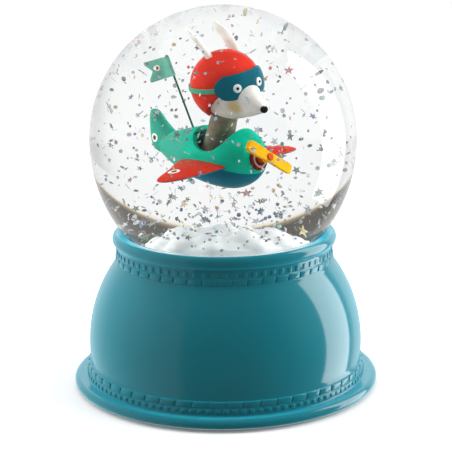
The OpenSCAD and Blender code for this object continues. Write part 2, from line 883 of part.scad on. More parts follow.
module neck_cup() {
    color([0.9, 0.9, 0.88]) difference() {
        union() {
            difference() {
                translate([0, 0, cup_floor]) cylinder(r = cup_out_r, h = cup_top - cup_floor);
                translate([0, 0, cup_floor_top]) cylinder(r = cup_in_r, h = globe_z);
            }
            around(boss_at, lug_angles) translate([0, 0, cup_floor])
                cylinder(r = boss_r, h = cup_wall, $fn = 48);
            around(boss_at, lug_angles) translate([-boss_r * 1.7, -boss_r * 0.8, cup_floor])
                cube([boss_r * 1.7, boss_r * 1.6, cup_wall]);
            around(standoff_at, lug_angles) translate([0, 0, board_top])
                cylinder(r = standoff_r, h = standoff_h + 1, $fn = 48);
        }
        translate([0, 0, cup_floor - 1]) cylinder(r = window_r, h = cup_wall + 2);
        around(boss_at, lug_angles) translate([0, 0, cup_floor - 1])
            cylinder(r = cup_screw[2] + lift_gap, h = cup_wall + 2, $fn = 32);
        around(standoff_at, lug_angles) translate([0, 0, board_top - 1])
            cylinder(r = board_screw[2] + thread_gap, h = board_screw[3] - board_t + 1.2, $fn = 32);
    }
}

module cup_screws() {
    color([0.7, 0.7, 0.72]) around(boss_at, lug_angles)
        translate([0, 0, cup_floor - cup_screw[1]]) screw(cup_screw);
}

module lamp_board() {
    color([0.1, 0.4, 0.2]) difference() {
        translate([0, 0, board_z]) cylinder(r = board_r, h = board_t);
        around(standoff_at, lug_angles) translate([0, 0, board_z - 1])
            cylinder(r = board_screw[2] + lift_gap, h = board_t + 2, $fn = 32);
    }
}

module board_screws() {
    color([0.7, 0.7, 0.72]) around(standoff_at, lug_angles)
        translate([0, 0, board_z - board_screw[1]]) screw(board_screw);
}

module lamps() {
    color([0.95, 0.95, 0.85]) around(lamp_at, lamp_angles) translate([0, 0, board_top]) {
        cylinder(r = lamp_r, h = 1, $fn = 48);
        intersection() {
            translate([0, 0, 1 - eps]) sphere(r = lamp_r * 0.8, $fn = 48);
            translate([-lamp_r, -lamp_r, 1 - eps * 2]) cube(lamp_r * 2);
        }
    }
}

// Door outline grown by a gap, with the screw lug and the two tabs
module door_outline(gap) {
    translate([-door_x / 2 - gap, -door_y / 2 - gap]) square([door_x + 2 * gap, door_y + 2 * gap]);
    translate([0, -lug_w / 2 - gap]) square([door_x / 2 + lug_run + gap, lug_w + 2 * gap]);
}

module door_tabs(gap) {
    for (y = [-tab_y, tab_y])
        translate([-door_x / 2 - tab_run - gap, y - tab_w / 2 - gap, door_top - tab_t - gap])
            cube([tab_run + gap + 1, tab_w + 2 * gap, tab_t + 2 * gap]);
}

module bottom_plate() {
    wall_out_x = box_x + 2 * box_wall;
    wall_out_y = box_y + 2 * box_wall;
    edge = 2 * (door_gap + frame_side);
    color([0.12, 0.14, 0.15]) difference() {
        union() {
            translate([0, 0, plate_z]) cylinder(r = plate_r, h = plate_t);
            slab(wall_out_x, wall_out_y, plate_z, roof_top);
            slab(door_x + edge, door_y + edge, plate_z, frame_top);
            translate([door_x / 2, -lug_w / 2 - edge / 2, plate_z])
                cube([lug_run + edge / 2, lug_w + edge, door_boss_top - plate_z]);
            for (side = [-1, 1])
                translate([0, switch_y + side * (switch_w / 2 - rail_w / 2), 0])
                    slab(switch_x, rail_w, plate_top - eps, switch_z);
            for (side = [-1, 1])
                translate([side * ear_hole_x, switch_y, plate_z])
                    cylinder(r = 2, h = switch_z - plate_z, $fn = 48);
        }
        slab(box_x, box_y, plate_z - 1, box_top);
        translate([0, 0, plate_z - 1]) linear_extrude(box_z - plate_z + 1) door_outline(door_gap);
        door_tabs(slide_gap);
        translate([door_screw_x, 0, 0])
            cylinder(r = door_screw_size[2] + thread_gap,
                h = plate_z + door_screw_size[1] + door_screw_size[3] + 0.5, $fn = 32);
        translate([0, switch_y, 0]) slab(slot_x, slot_y, 0, plate_top * 2);
        for (side = [-1, 1])
            translate([side * ear_hole_x, switch_y, switch_z - 2.4])
                cylinder(r = switch_screw[2] + thread_gap, h = 4, $fn = 32);
        around(post_at, post_angles) {
            cylinder(r = plate_screw[0] + lift_gap, h = plate_z + plate_screw[1], $fn = 48);
            cylinder(r = plate_screw[2] + lift_gap, h = plate_top + 1, $fn = 32);
        }
        around(pad_at, pad_angles) cylinder(r = pad_r + lift_gap, h = plate_z + pad_sink);
        lead_holes();
    }
}

module plate_screws() {
    color([0.7, 0.7, 0.72]) around(post_at, post_angles) translate([0, 0, plate_z]) screw(plate_screw);
}

module rubber_feet() {
    color([0.2, 0.2, 0.21]) around(pad_at, pad_angles) cylinder(r = pad_r, h = plate_z + pad_sink);
}

module battery_door() {
    color([0.12, 0.14, 0.15]) difference() {
        union() {
            translate([0, 0, plate_z]) linear_extrude(door_t) door_outline(0);
            door_tabs(0);
        }
        translate([door_screw_x, 0, 0]) {
            cylinder(r = door_screw_size[0] + lift_gap, h = plate_z + door_screw_size[1], $fn = 48);
            cylinder(r = door_screw_size[2] + lift_gap, h = plate_z + door_t + 1, $fn = 32);
        }
    }
}

module door_screw() {
    color([0.7, 0.7, 0.72]) translate([door_screw_x, 0, plate_z]) screw(door_screw_size);
}

// Side of the box that a cell's button points to, and its place across the box
function cell_side(i) = i % 2 == 0 ? 1 : -1;
function cell_y(i) = (i - (cell_count - 1) / 2) * cell_pitch;
contact_x = box_x / 2 - contact_t;

module cell(i) {
    color([0.75, 0.6, 0.2]) translate([0, cell_y(i), cell_z]) rotate([0, 90 * cell_side(i), 0]) {
        translate([0, 0, contact_x - cell_len]) cylinder(r = cell_r, h = cell_len - button_len, $fn = 64);
        translate([0, 0, contact_x - button_len - eps])
            cylinder(r = button_r, h = button_len + eps, $fn = 32);
    }
}

module cell_1() {
    cell(0);
}

module cell_2() {
    cell(1);
}

module cell_3() {
    cell(2);
}

module contact_plates() {
    color([0.8, 0.8, 0.82])
        for (i = [0:cell_count - 1], side = [-1, 1])
            translate([side * (box_x / 2 - contact_t / 2), cell_y(i), 0])
                slab(contact_t - 2 * eps, contact_w, cell_z - contact_w / 2, cell_z + contact_w / 2);
}

module contact_springs() {
    room = 2 * contact_x - cell_len;
    color([0.8, 0.8, 0.82])
        for (i = [0:cell_count - 1])
            translate([0, cell_y(i), cell_z]) rotate([0, -90 * cell_side(i), 0])
                tube([for (k = [0:36]) let (t = k / 36, r = 3.4 - 1.4 * t, a = 360 * spring_turns * t)
                    [r * cos(a), r * sin(a),
                        contact_x - wire_r - eps - (room - 2 * wire_r - 2 * eps) * t]], wire_r, 6);
}

module switch_body() {
    color([0.15, 0.15, 0.16]) translate([0, switch_y, 0]) difference() {
        union() {
            slab(switch_x, switch_w, switch_z, switch_z + switch_h);
            slab(switch_x + 2 * ear_run, switch_w * 0.7, switch_z, switch_z + ear_t);
        }
        slab(stem_x + switch_travel + 2 * slide_gap, stem_y + 2 * slide_gap, switch_z - 1,
            switch_z + stem_h + lift_gap);
        for (side = [-1, 1])
            translate([side * ear_hole_x, 0, switch_z - 1])
                cylinder(r = switch_screw[2] + lift_gap, h = 4, $fn = 32);
    }
}

module switch_screws() {
    color([0.7, 0.7, 0.72])
        for (side = [-1, 1])
            translate([side * ear_hole_x, switch_y, switch_z + ear_t + switch_screw[1]])
                rotate([180, 0, 0]) screw(switch_screw);
}

// Knob at its off end, the travel runs towards +X
module power_knob() {
    color([0.85, 0.85, 0.85]) translate([-switch_travel / 2, switch_y, 0]) {
        slab(knob_x, knob_y, knob_low, skirt_z + eps);
        slab(skirt_x, skirt_y, skirt_z, skirt_z + skirt_t);
        slab(stem_x, stem_y, skirt_z + skirt_t - eps, switch_z + stem_h);
    }
}

// Leads between box, switch and lamp board
lead_z = box_top - 2;
switch_top = switch_z + switch_h;
board_low = board_z - 0.1;

module lead_holes() {
    for (x = [-8, 8])
        translate([x, box_y / 2 - 1, lead_z]) rotate([-90, 0, 0])
            cylinder(r = lead_r + lift_gap, h = box_wall + 2, $fn = 24);
}

module lead_positive() {
    start = [8, box_y / 2 + 0.2, lead_z];
    finish = [4, switch_y, switch_top + eps];
    color([0.8, 0.1, 0.1])
        tube(curve(start, start + [0, 8, 0], finish + [0, 0, 7], finish, 16), lead_r, 8);
}

module lead_negative() {
    start = [-8, box_y / 2 + 0.2, lead_z];
    finish = [-10, 6, board_low];
    color([0.08, 0.08, 0.08])
        tube(curve(start, start + [0, 12, 0], finish + [0, 4, -14], finish, 20), lead_r, 8);
}

module lead_switch() {
    start = [-4, switch_y, switch_top + eps];
    finish = [2, 12, board_low];
    color([0.8, 0.1, 0.1])
        tube(curve(start, start + [0, 0, 12], finish + [0, 2, -10], finish, 20), lead_r, 8);
}

glass_globe();
liquid_fill();
star_glitter();
dot_glitter();
sealing_stopper();
globe_gasket();
snow_mound();
support_rod();
fuselage_upper();
fuselage_belly();
right_wing();
left_wing();
tail_fin();
nose_ring();
nose_plate();
propeller_pin();
propeller();
flag_mast();
flag();
pilot_neck();
pilot_head();
nose_tip();
flying_helmet();
goggle_frames();
goggle_lenses();
goggle_strap();
right_ear();
left_ear();
base_shell();
neck_cup();
cup_screws();
lamp_board();
board_screws();
lamps();
bottom_plate();
plate_screws();
rubber_feet();
battery_door();
door_screw();
cell_1();
cell_2();
cell_3();
contact_plates();
contact_springs();
switch_body();
switch_screws();
power_knob();
lead_positive();
lead_negative();
lead_switch();
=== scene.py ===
"""Looks of a lit snow globe with a small pilot in an aeroplane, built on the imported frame."""

import json
import math
import random

import bmesh
import bpy
from bpy.props import FloatProperty, FloatVectorProperty, IntProperty, PointerProperty
from mathutils import Matrix, Vector
from mathutils.bvhtree import BVHTree

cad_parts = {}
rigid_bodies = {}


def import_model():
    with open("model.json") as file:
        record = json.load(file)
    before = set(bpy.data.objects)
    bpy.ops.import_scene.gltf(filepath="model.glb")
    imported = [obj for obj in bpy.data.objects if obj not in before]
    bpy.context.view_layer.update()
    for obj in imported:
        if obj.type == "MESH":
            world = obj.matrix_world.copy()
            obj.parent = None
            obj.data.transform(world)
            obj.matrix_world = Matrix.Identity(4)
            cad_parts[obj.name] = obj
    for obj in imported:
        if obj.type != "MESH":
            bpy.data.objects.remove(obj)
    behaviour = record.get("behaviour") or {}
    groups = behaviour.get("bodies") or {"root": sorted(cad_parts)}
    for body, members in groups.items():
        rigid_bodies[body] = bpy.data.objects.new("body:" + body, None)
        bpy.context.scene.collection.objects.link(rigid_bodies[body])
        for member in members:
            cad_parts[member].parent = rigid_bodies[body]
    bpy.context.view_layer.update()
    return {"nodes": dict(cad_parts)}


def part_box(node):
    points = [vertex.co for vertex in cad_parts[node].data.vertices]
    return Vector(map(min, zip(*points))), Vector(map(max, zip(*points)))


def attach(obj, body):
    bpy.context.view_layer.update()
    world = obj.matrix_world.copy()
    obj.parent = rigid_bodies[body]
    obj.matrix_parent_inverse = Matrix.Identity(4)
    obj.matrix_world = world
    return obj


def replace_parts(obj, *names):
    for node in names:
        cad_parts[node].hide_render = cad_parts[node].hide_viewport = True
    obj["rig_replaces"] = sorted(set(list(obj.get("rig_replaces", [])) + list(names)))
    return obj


bl_info = {
    "name": "Snow globe",
    "version": (1, 0, 0),
    "blender": (4, 5, 0),
    "location": "View3D > Sidebar > Snow globe",
    "description": "Builds the looks of a lit snow globe with a pilot in an aeroplane",
    "category": "Object",
}

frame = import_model()
shell_low, shell_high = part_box("base_shell")
globe_low, globe_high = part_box("glass_globe")
rod_low, rod_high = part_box("support_rod")
stopper_low, stopper_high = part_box("sealing_stopper")
mound_low, mound_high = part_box("snow_mound")

MM = 0.001
STAND_BODY = "globe_and_base"
PROPELLER_BODY = "propeller_body"

# Refractive indices, and the ratios met where two clear things touch
GLASS = 1.5
LIQUID = 1.33
ACRYLIC = 1.49
PAINT_IN_LIQUID = 1.5 / LIQUID
PAINT_IN_AIR = 1.5

# Turn between two faces from which their edge is rounded
SHARP = math.radians(40)

# Depths of the fine relief on paint and on moulded plastic
PEEL_DEPTH = 0.00005
GRAIN_DEPTH = 0.00004

# The aeroplane's own frame: u towards the nose, v to its left wing, w up, in millimetres
YAW = math.radians(-41)
BANK = math.radians(3)
ROD_TOP_TO_AXIS = 5.41
SHAFT_TILT = math.radians(15)
NOSE_CUT = 16.6
PROPELLER_REACH = 9.2
HEAD_PLACE = Vector((5.6, 0.0, 21.4))
HEAD_TURN = math.radians(-8)
HEAD_NOD = math.radians(4)
HEAD_NOD_AXIS = Vector((0.75, 0.66, 0.0))
HEAD_SIZE = 1.037

IN_MM = Matrix.Scale(MM, 4)
FIGURE_ORIGIN = Vector((
    (rod_low.x + rod_high.x) / 2,
    (rod_low.y + rod_high.y) / 2,
    rod_high.z + ROD_TOP_TO_AXIS * MM,
))
FIGURE = (
    Matrix.Translation(FIGURE_ORIGIN)
    @ Matrix.Rotation(YAW, 4, "Z")
    @ Matrix.Rotation(BANK, 4, "X")
    @ IN_MM
)
HEAD = (
    FIGURE
    @ Matrix.Translation(HEAD_PLACE)
    @ Matrix.Rotation(HEAD_NOD, 4, HEAD_NOD_AXIS)
    @ Matrix.Rotation(HEAD_TURN, 4, "Z")
    @ Matrix.Scale(HEAD_SIZE, 4)
)
SHAFT = (
    FIGURE
    @ Matrix.Translation((NOSE_CUT, 0, 0))
    @ Matrix.Rotation(math.pi / 2 - SHAFT_TILT, 4, "Y")
)

# Turns that lay an upright shape along u or across the aeroplane
ALONG_U = Matrix.Rotation(math.pi / 2, 4, "Y")
ALONG_V = Matrix.Rotation(math.pi / 2, 4, "X")


def from_screen(red, green, blue):
    """Scene colour of a screen colour given from 0 to 255, by the sRGB curve."""
    def channel(value):
        value = value / 255
        return value / 12.92 if value <= 0.04045 else ((value + 0.055) / 1.055) ** 2.4

    return channel(red), channel(green), channel(blue), 1.0


def grey(level):
    """An even grey."""
    return level, level, level, 1.0


def length_setting(name, description, default):
    """A length setting in metres."""
    return FloatProperty(name=name, description=description, default=default, min=0.0, unit="LENGTH",
                         precision=5)


def count_setting(name, description, default, least=0):
    """A whole number of things."""
    return IntProperty(name=name, description=description, default=default, min=least)


def brightness_setting(name, description, default):
    """Brightness of a light panel."""
    return FloatProperty(name=name, description=description, default=default, min=0.0)


def colour_setting(name, description, red, green, blue):
    """A colour setting whose default is given in screen values."""
    return FloatVectorProperty(name=name, description=description, subtype="COLOR", size=4, min=0.0,
                               max=1.0, default=from_screen(red, green, blue))


class SnowGlobeBase(bpy.types.PropertyGroup):
    """Sizes and colour of the lacquered base"""

    foot_radius: length_setting("Foot radius", "Outer radius of the foot flange", shell_high.x)
    foot_low: length_setting("Foot low", "Height of the flange's underside", shell_low.z)
    crest: length_setting("Crest", "Height of the rim's highest line", shell_high.z)
    body_radius: length_setting("Body radius", "Radius of the round body", 0.052)
    dome_height: length_setting("Dome height", "Height of the dome's centre", 0.017)
    collar_radius: length_setting("Collar radius", "Radius of the collar under the rim", 0.0412)
    rim_radius: length_setting("Rim radius", "Radius of the rolled rim's section", 0.00275)
    flange_edge: length_setting("Flange edge", "Radius of the flange's rounded edge", 0.0019)
    wall: length_setting("Wall", "Thickness of the moulded wall", 0.0026)
    collar_dentils: count_setting("Collar dentils", "Dentils round the collar", 72, 12)
    collar_rope: count_setting("Collar rope", "Strands of the collar's rope moulding", 48, 12)
    foot_rope: count_setting("Foot rope", "Strands of the foot's rope moulding", 54, 12)
    foot_dentils: count_setting("Foot dentils", "Dentils round the foot", 108, 12)
    lacquer: colour_setting("Lacquer", "Gloss lacquer of the base", 8, 110, 122)


class SnowGlobeFilling(bpy.types.PropertyGroup):
    """Flakes and snow inside the globe, and its glass walls"""

    stars: count_setting("Stars", "Number of star flakes", 150)
    dots: count_setting("Dots", "Number of round flakes", 850)
    seed: count_setting("Seed", "Seed of the flakes' places", 5)
    star_radius: length_setting("Star radius", "Radius of a star flake", 0.0015)
    dot_radius: length_setting("Dot radius", "Radius of a round flake", 0.00068)
    wall: length_setting("Glass wall", "Thickness of the blown glass", 0.0028)
    bore: length_setting("Neck bore", "Radius inside the glass neck", 0.0272)
    neck: length_setting("Neck radius", "Outer radius of the glass neck", 0.030)
    snow: colour_setting("Snow", "Colour of the moulded snow", 252, 252, 250)


class SnowGlobePilot(bpy.types.PropertyGroup):
    """Colours of the aeroplane and its pilot"""

    green: colour_setting("Green", "Front of the fuselage", 0, 194, 158)
    tail: colour_setting("Tail", "Tail half of the fuselage and the fin", 56, 172, 146)
    cockpit: colour_setting("Cockpit", "Inside of the cockpit", 18, 96, 86)
    belly: colour_setting("Belly", "Belly and the undersides of the wings", 0, 108, 128)
    wing: colour_setting("Wing", "Upper side of the wings", 208, 50, 30)
    propeller: colour_setting("Propeller", "Propeller paint", 255, 186, 4)
    pin: colour_setting("Pin", "Head of the propeller pin", 216, 88, 20)
    nose: colour_setting("Nose", "Nose disc", 124, 38, 34)
    ring: colour_setting("Ring", "Pale rings", 232, 190, 184)
    helmet: colour_setting("Helmet", "Flying helmet", 217, 50, 34)
    goggles: colour_setting("Goggles", "Goggle frame", 0, 101, 117)
    strap: colour_setting("Strap", "Goggle strap", 84, 164, 130)
    face: colour_setting("Face", "Face and snout", 244, 240, 232)
    blush: colour_setting("Blush", "Warm patch on each cheek", 206, 178, 102)
    coat: colour_setting("Coat", "Neck of the pilot's coat", 138, 132, 112)
    ear: colour_setting("Ear", "Ears", 250, 246, 236)
    flag: colour_setting("Flag", "Flag", 120, 194, 171)


class SnowGlobeStage(bpy.types.PropertyGroup):
    """Camera and light"""

    lens: FloatProperty(name="Lens", description="Focal length in millimetres", default=123.2, min=10.0)
    camera: FloatVectorProperty(name="Camera", description="Place of the camera",
                                subtype="TRANSLATION", default=(0.000711, -0.5687, 0.2013))
    pitch: FloatProperty(name="Pitch", description="How far the camera looks down", subtype="ANGLE",
                         default=0.242)
    roll: FloatProperty(name="Roll", description="Turn of the camera about its view", subtype="ANGLE",
                        default=-0.011)
    side_panel: brightness_setting("Side panel", "Brightness of the right panel", 3.0)
    fill_panel: brightness_setting("Fill panel", "Brightness of the lower right panel", 4.2)
    left_panel: brightness_setting("Left panel", "Brightness of the left panel", 4.2)
    front_panel: brightness_setting("Front panel", "Brightness of the panel by the camera", 0.4)
    top_panel: brightness_setting("Top panel", "Brightness of the panel overhead", 2.1)


def spread(start, stop, count):
    """Even steps from start to stop, both included."""
    return [start + (stop - start) * step / (count - 1) for step in range(count)]


def arc(centre, radius, start, stop, count):
    """Points of a profile's arc, with its angles in degrees."""
    turns = [math.radians(degrees) for degrees in spread(start, stop, count)]
    return [(centre[0] + radius * math.cos(turn), centre[1] + radius * math.sin(turn)) for turn in turns]


def smooth_step(value, low, high):
    """0 below low, 1 above high, with a soft run between."""
    share = min(1.0, max(0.0, (value - low) / (high - low)))
    return share * share * (3 - 2 * share)


def lathe(profile, steps, closed=False):
    """A shape turned about Z from a profile of (radius, height) points."""
    bm = bmesh.new()
    verts = [bm.verts.new((radius, 0.0, height)) for radius, height in profile]
    edges = [bm.edges.new(pair) for pair in zip(verts, verts[1:])]
    if closed:
        edges.append(bm.edges.new((verts[-1], verts[0])))
    bmesh.ops.spin(bm, geom=verts + edges, cent=(0, 0, 0), axis=(0, 0, 1), angle=math.tau, steps=steps,
                   use_merge=True)
    return tidy(bm)


def tidy(bm, distance=0.0005):
    """Merges doubled vertices and turns every face outwards."""
    bmesh.ops.remove_doubles(bm, verts=bm.verts, dist=distance)
    bmesh.ops.recalc_face_normals(bm, faces=bm.faces)
    return bm


def move(bm, matrix):
    """Moves a whole shape by a matrix."""
    bmesh.ops.transform(bm, matrix=matrix, verts=bm.verts)
    return bm


def loft(rings, sides):
    """A closed skin over rings, each given as its matrix and its two half widths."""
    bm = bmesh.new()
    loops = []
    for matrix, half_across, half_up in rings:
        size = Matrix.Diagonal((half_across, half_up, 1.0, 1.0))
        made = bmesh.ops.create_circle(bm, segments=sides, radius=1.0, matrix=matrix @ size)
        loops.append(list({edge for vert in made["verts"] for edge in vert.link_edges}))
    for first, second in zip(loops, loops[1:]):
        bmesh.ops.bridge_loops(bm, edges=first + second)
    bmesh.ops.holes_fill(bm, edges=bm.edges, sides=sides)
    return tidy(bm)


def slice_off(bm, point, normal):
    """Removes what lies on the normal's side of a plane and closes the cut."""
    bmesh.ops.bisect_plane(bm, geom=bm.verts[:] + bm.edges[:] + bm.faces[:], dist=0.0005, plane_co=point,
                           plane_no=normal, clear_outer=True)
    open_edges = [edge for edge in bm.edges if edge.is_boundary]
    bmesh.ops.holes_fill(bm, edges=open_edges, sides=0)
    return tidy(bm)


def prism(outline, half_depth):
    """A block whose outline in the u and w plane runs across the aeroplane."""
    bm = bmesh.new()
    face = bm.faces.new([bm.verts.new((u, -half_depth, w)) for u, w in outline])
    made = bmesh.ops.extrude_face_region(bm, geom=[face])
    top = [part for part in made["geom"] if isinstance(part, bmesh.types.BMVert)]
    bmesh.ops.translate(bm, vec=(0, 2 * half_depth, 0), verts=top)
    return tidy(bm)


def drum(radius, depth, matrix, segments=96):
    """A closed round bar about Z, put in place by a matrix."""
    bm = bmesh.new()
    bmesh.ops.create_cone(bm, cap_ends=True, segments=segments, radius1=radius, radius2=radius,
                          depth=depth, matrix=matrix)
    return bm


def ball(radius, matrix, across, up):
    """A round ball put in place by a matrix."""
    bm = bmesh.new()
    bmesh.ops.create_uvsphere(bm, u_segments=across, v_segments=up, radius=radius, matrix=matrix)
    return bm


def to_mesh(bm, name):
    """Ends a shape's modelling and makes it a mesh."""
    mesh = bpy.data.meshes.new(name)
    bm.to_mesh(mesh)
    bm.free()
    return mesh


def add_object(name, data):
    """A new object in the scene."""
    made = bpy.data.objects.new(name, data)
    bpy.context.scene.collection.objects.link(made)
    return made


def carve(bm, tool):
    """Cuts one closed shape out of another through a Boolean modifier."""
    pair = [add_object("carving", to_mesh(shape, "carving")) for shape in (bm, tool)]
    cut = pair[0].modifiers.new("Cut", "BOOLEAN")
    cut.object = pair[1]
    cut.operation = "DIFFERENCE"
    cut.solver = "EXACT"
    bpy.context.view_layer.update()
    carved = pair[0].evaluated_get(bpy.context.evaluated_depsgraph_get())
    result = bmesh.new()
    result.from_mesh(carved.to_mesh())
    carved.to_mesh_clear()
    for part in pair:
        mesh = part.data
        bpy.data.objects.remove(part)
        bpy.data.meshes.remove(mesh)
    return tidy(result, 0.002)


def join(bm, other):
    """Adds another shape's faces to a shape."""
    mesh = to_mesh(other, "joining")
    bm.from_mesh(mesh)
    bpy.data.meshes.remove(mesh)
    return bm


def round_edges(bm, offset, segments=2):
    """Rounds every sharp edge."""
    sharp = [edge for edge in bm.edges if len(edge.link_faces) == 2 and edge.calc_face_angle() > SHARP]
    bmesh.ops.bevel(bm, geom=sharp, offset=offset, offset_type="OFFSET", segments=segments, profile=0.5,
                    affect="EDGES", clamp_overlap=True, material=-1)
    return bm


def put_piece(bm, name, finishes, place=IN_MM, nodes=(), body=STAND_BODY, crease=38, soften=0):
    """Makes a shape into a piece that rides on a body and stands for its CAD nodes."""
    move(bm, place)
    limit = math.radians(crease)
    for face in bm.faces:
        face.smooth = True
    for edge in bm.edges:
        edge.smooth = len(edge.link_faces) != 2 or edge.calc_face_angle() < limit
    piece = add_object(name, to_mesh(bm, name))
    for material in finishes:
        piece.data.materials.append(material)
    if soften:
        smooth = piece.modifiers.new("Soften", "SUBSURF")
        smooth.levels = soften
        smooth.render_levels = soften
    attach(piece, body)
    if nodes:
        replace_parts(piece, *nodes)
    return piece


def add_node(tree, kind, inputs=None, **settings):
    """A node with its settings made and its inputs linked or given values."""
    node = tree.nodes.new(kind)
    for key, value in settings.items():
        setattr(node, key, value)
    for key, value in (inputs or {}).items():
        if isinstance(value, bpy.types.NodeSocket):
            tree.links.new(value, node.inputs[key])
        else:
            node.inputs[key].default_value = value
    return node


def math_node(tree, operation, first, second):
    """The result of a Math node."""
    return add_node(tree, "ShaderNodeMath", {0: first, 1: second}, operation=operation).outputs[0]


def ramp(tree, value, low, high, start=0.0, stop=1.0):
    """A soft run from start to stop as a value goes from low to high."""
    return add_node(tree, "ShaderNodeMapRange", {
        "Value": value, "From Min": low, "From Max": high, "To Min": start, "To Max": stop,
    }, interpolation_type="SMOOTHSTEP").outputs["Result"]


def blend_colours(tree, factor, first, second):
    """Two colours mixed by a factor."""
    node = add_node(tree, "ShaderNodeMix", {0: factor, 6: first, 7: second}, data_type="RGBA")
    return node.outputs[2]


def mix_shaders(tree, factor, first, second):
    """The first shader, giving way to the second by a factor."""
    return add_node(tree, "ShaderNodeMixShader", {0: factor, 1: first, 2: second}).outputs[0]


def axes(tree, vector):
    """The three parts of a vector."""
    return add_node(tree, "ShaderNodeSeparateXYZ", {0: vector}).outputs


def colour_ramp(tree, value, stops):
    """Colours by value, from stops of a place and a colour."""
    node = add_node(tree, "ShaderNodeValToRGB", {"Fac": value})
    elements = node.color_ramp.elements
    elements[0].position, elements[0].color = stops[0]
    elements[1].position, elements[1].color = stops[-1]
    for place, colour in stops[1:-1]:
        elements.new(place).color = colour
    return node.outputs["Color"]


def noise(tree, vector, scale, detail, roughness=0.5):
    """The value of a noise texture."""
    return add_node(tree, "ShaderNodeTexNoise", {
        "Vector": vector, "Scale": scale, "Detail": detail, "Roughness": roughness,
    }).outputs[0]


def place_vector(tree, place=IN_MM):
    """Object coordinates read in a place's own frame."""
    coordinates = add_node(tree, "ShaderNodeTexCoord").outputs["Object"]
    return add_node(tree, "ShaderNodeMapping", {
        "Vector": coordinates, "Location": place.to_translation(),
        "Rotation": place.to_euler(), "Scale": place.to_scale(),
    }, vector_type="TEXTURE").outputs["Vector"]


def new_group(name, inputs, outputs):
    """An empty shader node group with its sockets and its two end nodes."""
    tree = bpy.data.node_groups.new(name, "ShaderNodeTree")
    kinds = {"vector": "NodeSocketVector", "colour": "NodeSocketColor", "value": "NodeSocketFloat"}
    for socket, kind in inputs.items():
        tree.interface.new_socket(name=socket, in_out="INPUT", socket_type=kinds[kind])
    for socket, kind in outputs.items():
        tree.interface.new_socket(name=socket, in_out="OUTPUT", socket_type=kinds[kind])
    return tree, tree.nodes.new("NodeGroupInput").outputs, tree.nodes.new("NodeGroupOutput").inputs


def paint_film_group():
    """A coat of paint: broad patches of a second shade, uneven gloss and a fine peel."""
    tree, given, put_out = new_group(
        "Paint film",
        {"Vector": "vector", "Colour": "colour", "Shade": "colour", "Patch": "value", "Peel": "value",
         "Gloss low": "value", "Gloss high": "value"},
        {"Colour": "colour", "Roughness": "value", "Height": "value"},
    )
    patches = ramp(tree, noise(tree, given["Vector"], given["Patch"], 3.0), 0.34, 0.68)
    specks = ramp(tree, noise(tree, given["Vector"], given["Peel"], 1.0), 0.72, 0.8, 0.0, 0.35)
    both = math_node(tree, "MAXIMUM", patches, specks)
    tree.links.new(blend_colours(tree, both, given["Colour"], given["Shade"]), put_out["Colour"])
    gloss = add_node(tree, "ShaderNodeMapRange", {
        "Value": noise(tree, given["Vector"], given["Patch"], 5.0, 0.62),
        "From Min": 0.3, "From Max": 0.7, "To Min": given["Gloss low"], "To Max": given["Gloss high"],
    })
    tree.links.new(gloss.outputs["Result"], put_out["Roughness"])
    tree.links.new(noise(tree, given["Vector"], given["Peel"], 2.0), put_out["Height"])
    return tree


def moulded_grain_group():
    """Moulded plastic or rubber: a spark grain, faint flow shades and uneven gloss."""
    tree, given, put_out = new_group(
        "Moulded grain",
        {"Vector": "vector", "Colour": "colour", "Shade": "colour", "Grain": "value",
         "Gloss low": "value", "Gloss high": "value"},
        {"Colour": "colour", "Roughness": "value", "Height": "value"},
    )
    flow = ramp(tree, noise(tree, given["Vector"], 0.09, 4.0), 0.35, 0.65)
    tree.links.new(blend_colours(tree, flow, given["Colour"], given["Shade"]), put_out["Colour"])
    pits = add_node(tree, "ShaderNodeTexVoronoi", {"Vector": given["Vector"], "Scale": given["Grain"]})
    gloss = add_node(tree, "ShaderNodeMapRange", {
        "Value": pits.outputs["Distance"], "From Min": 0.1, "From Max": 0.6,
        "To Min": given["Gloss low"], "To Max": given["Gloss high"],
    })
    tree.links.new(gloss.outputs["Result"], put_out["Roughness"])
    tree.links.new(pits.outputs["Distance"], put_out["Height"])
    return tree


def ring_mark_group():
    """A painted ring with a round dot in it, about the vector's Z axis."""
    tree, given, put_out = new_group(
        "Ring mark",
        {"Vector": "vector", "Outer": "value", "Inner": "value", "Dot": "value"},
        {"Ring": "value", "Dot": "value"},
    )
    flat = add_node(tree, "ShaderNodeVectorMath", {0: given["Vector"], 1: (1.0, 1.0, 0.0)},
                    operation="MULTIPLY")
    away = add_node(tree, "ShaderNodeVectorMath", {0: flat.outputs[0]}, operation="LENGTH")
    distance = away.outputs["Value"]
    soft = 0.09

    def inside(radius):
        edge = math_node(tree, "SUBTRACT", radius, distance)
        return ramp(tree, edge, -soft, soft)

    ring = math_node(tree, "SUBTRACT", inside(given["Outer"]), inside(given["Inner"]))
    tree.links.new(ring, put_out["Ring"])
    tree.links.new(inside(given["Dot"]), put_out["Dot"])
    return tree


def shared_group(name, maker):
    """A node group that is built once."""
    return bpy.data.node_groups.get(name) or maker()


def start_material(name):
    """A material with its node tree and its Principled shader."""
    material = bpy.data.materials.new(name)
    material.use_nodes = True
    return material, material.node_tree, material.node_tree.nodes["Principled BSDF"]


def darker(colour, share):
    """A colour at a share of its brightness."""
    return tuple(channel * share for channel in colour[:3]) + (1.0,)


def set_inputs(material, values):
    """Sets plain values on a material's own shader."""
    shader = material.node_tree.nodes["Principled BSDF"]
    for socket, value in values.items():
        shader.inputs[socket].default_value = value


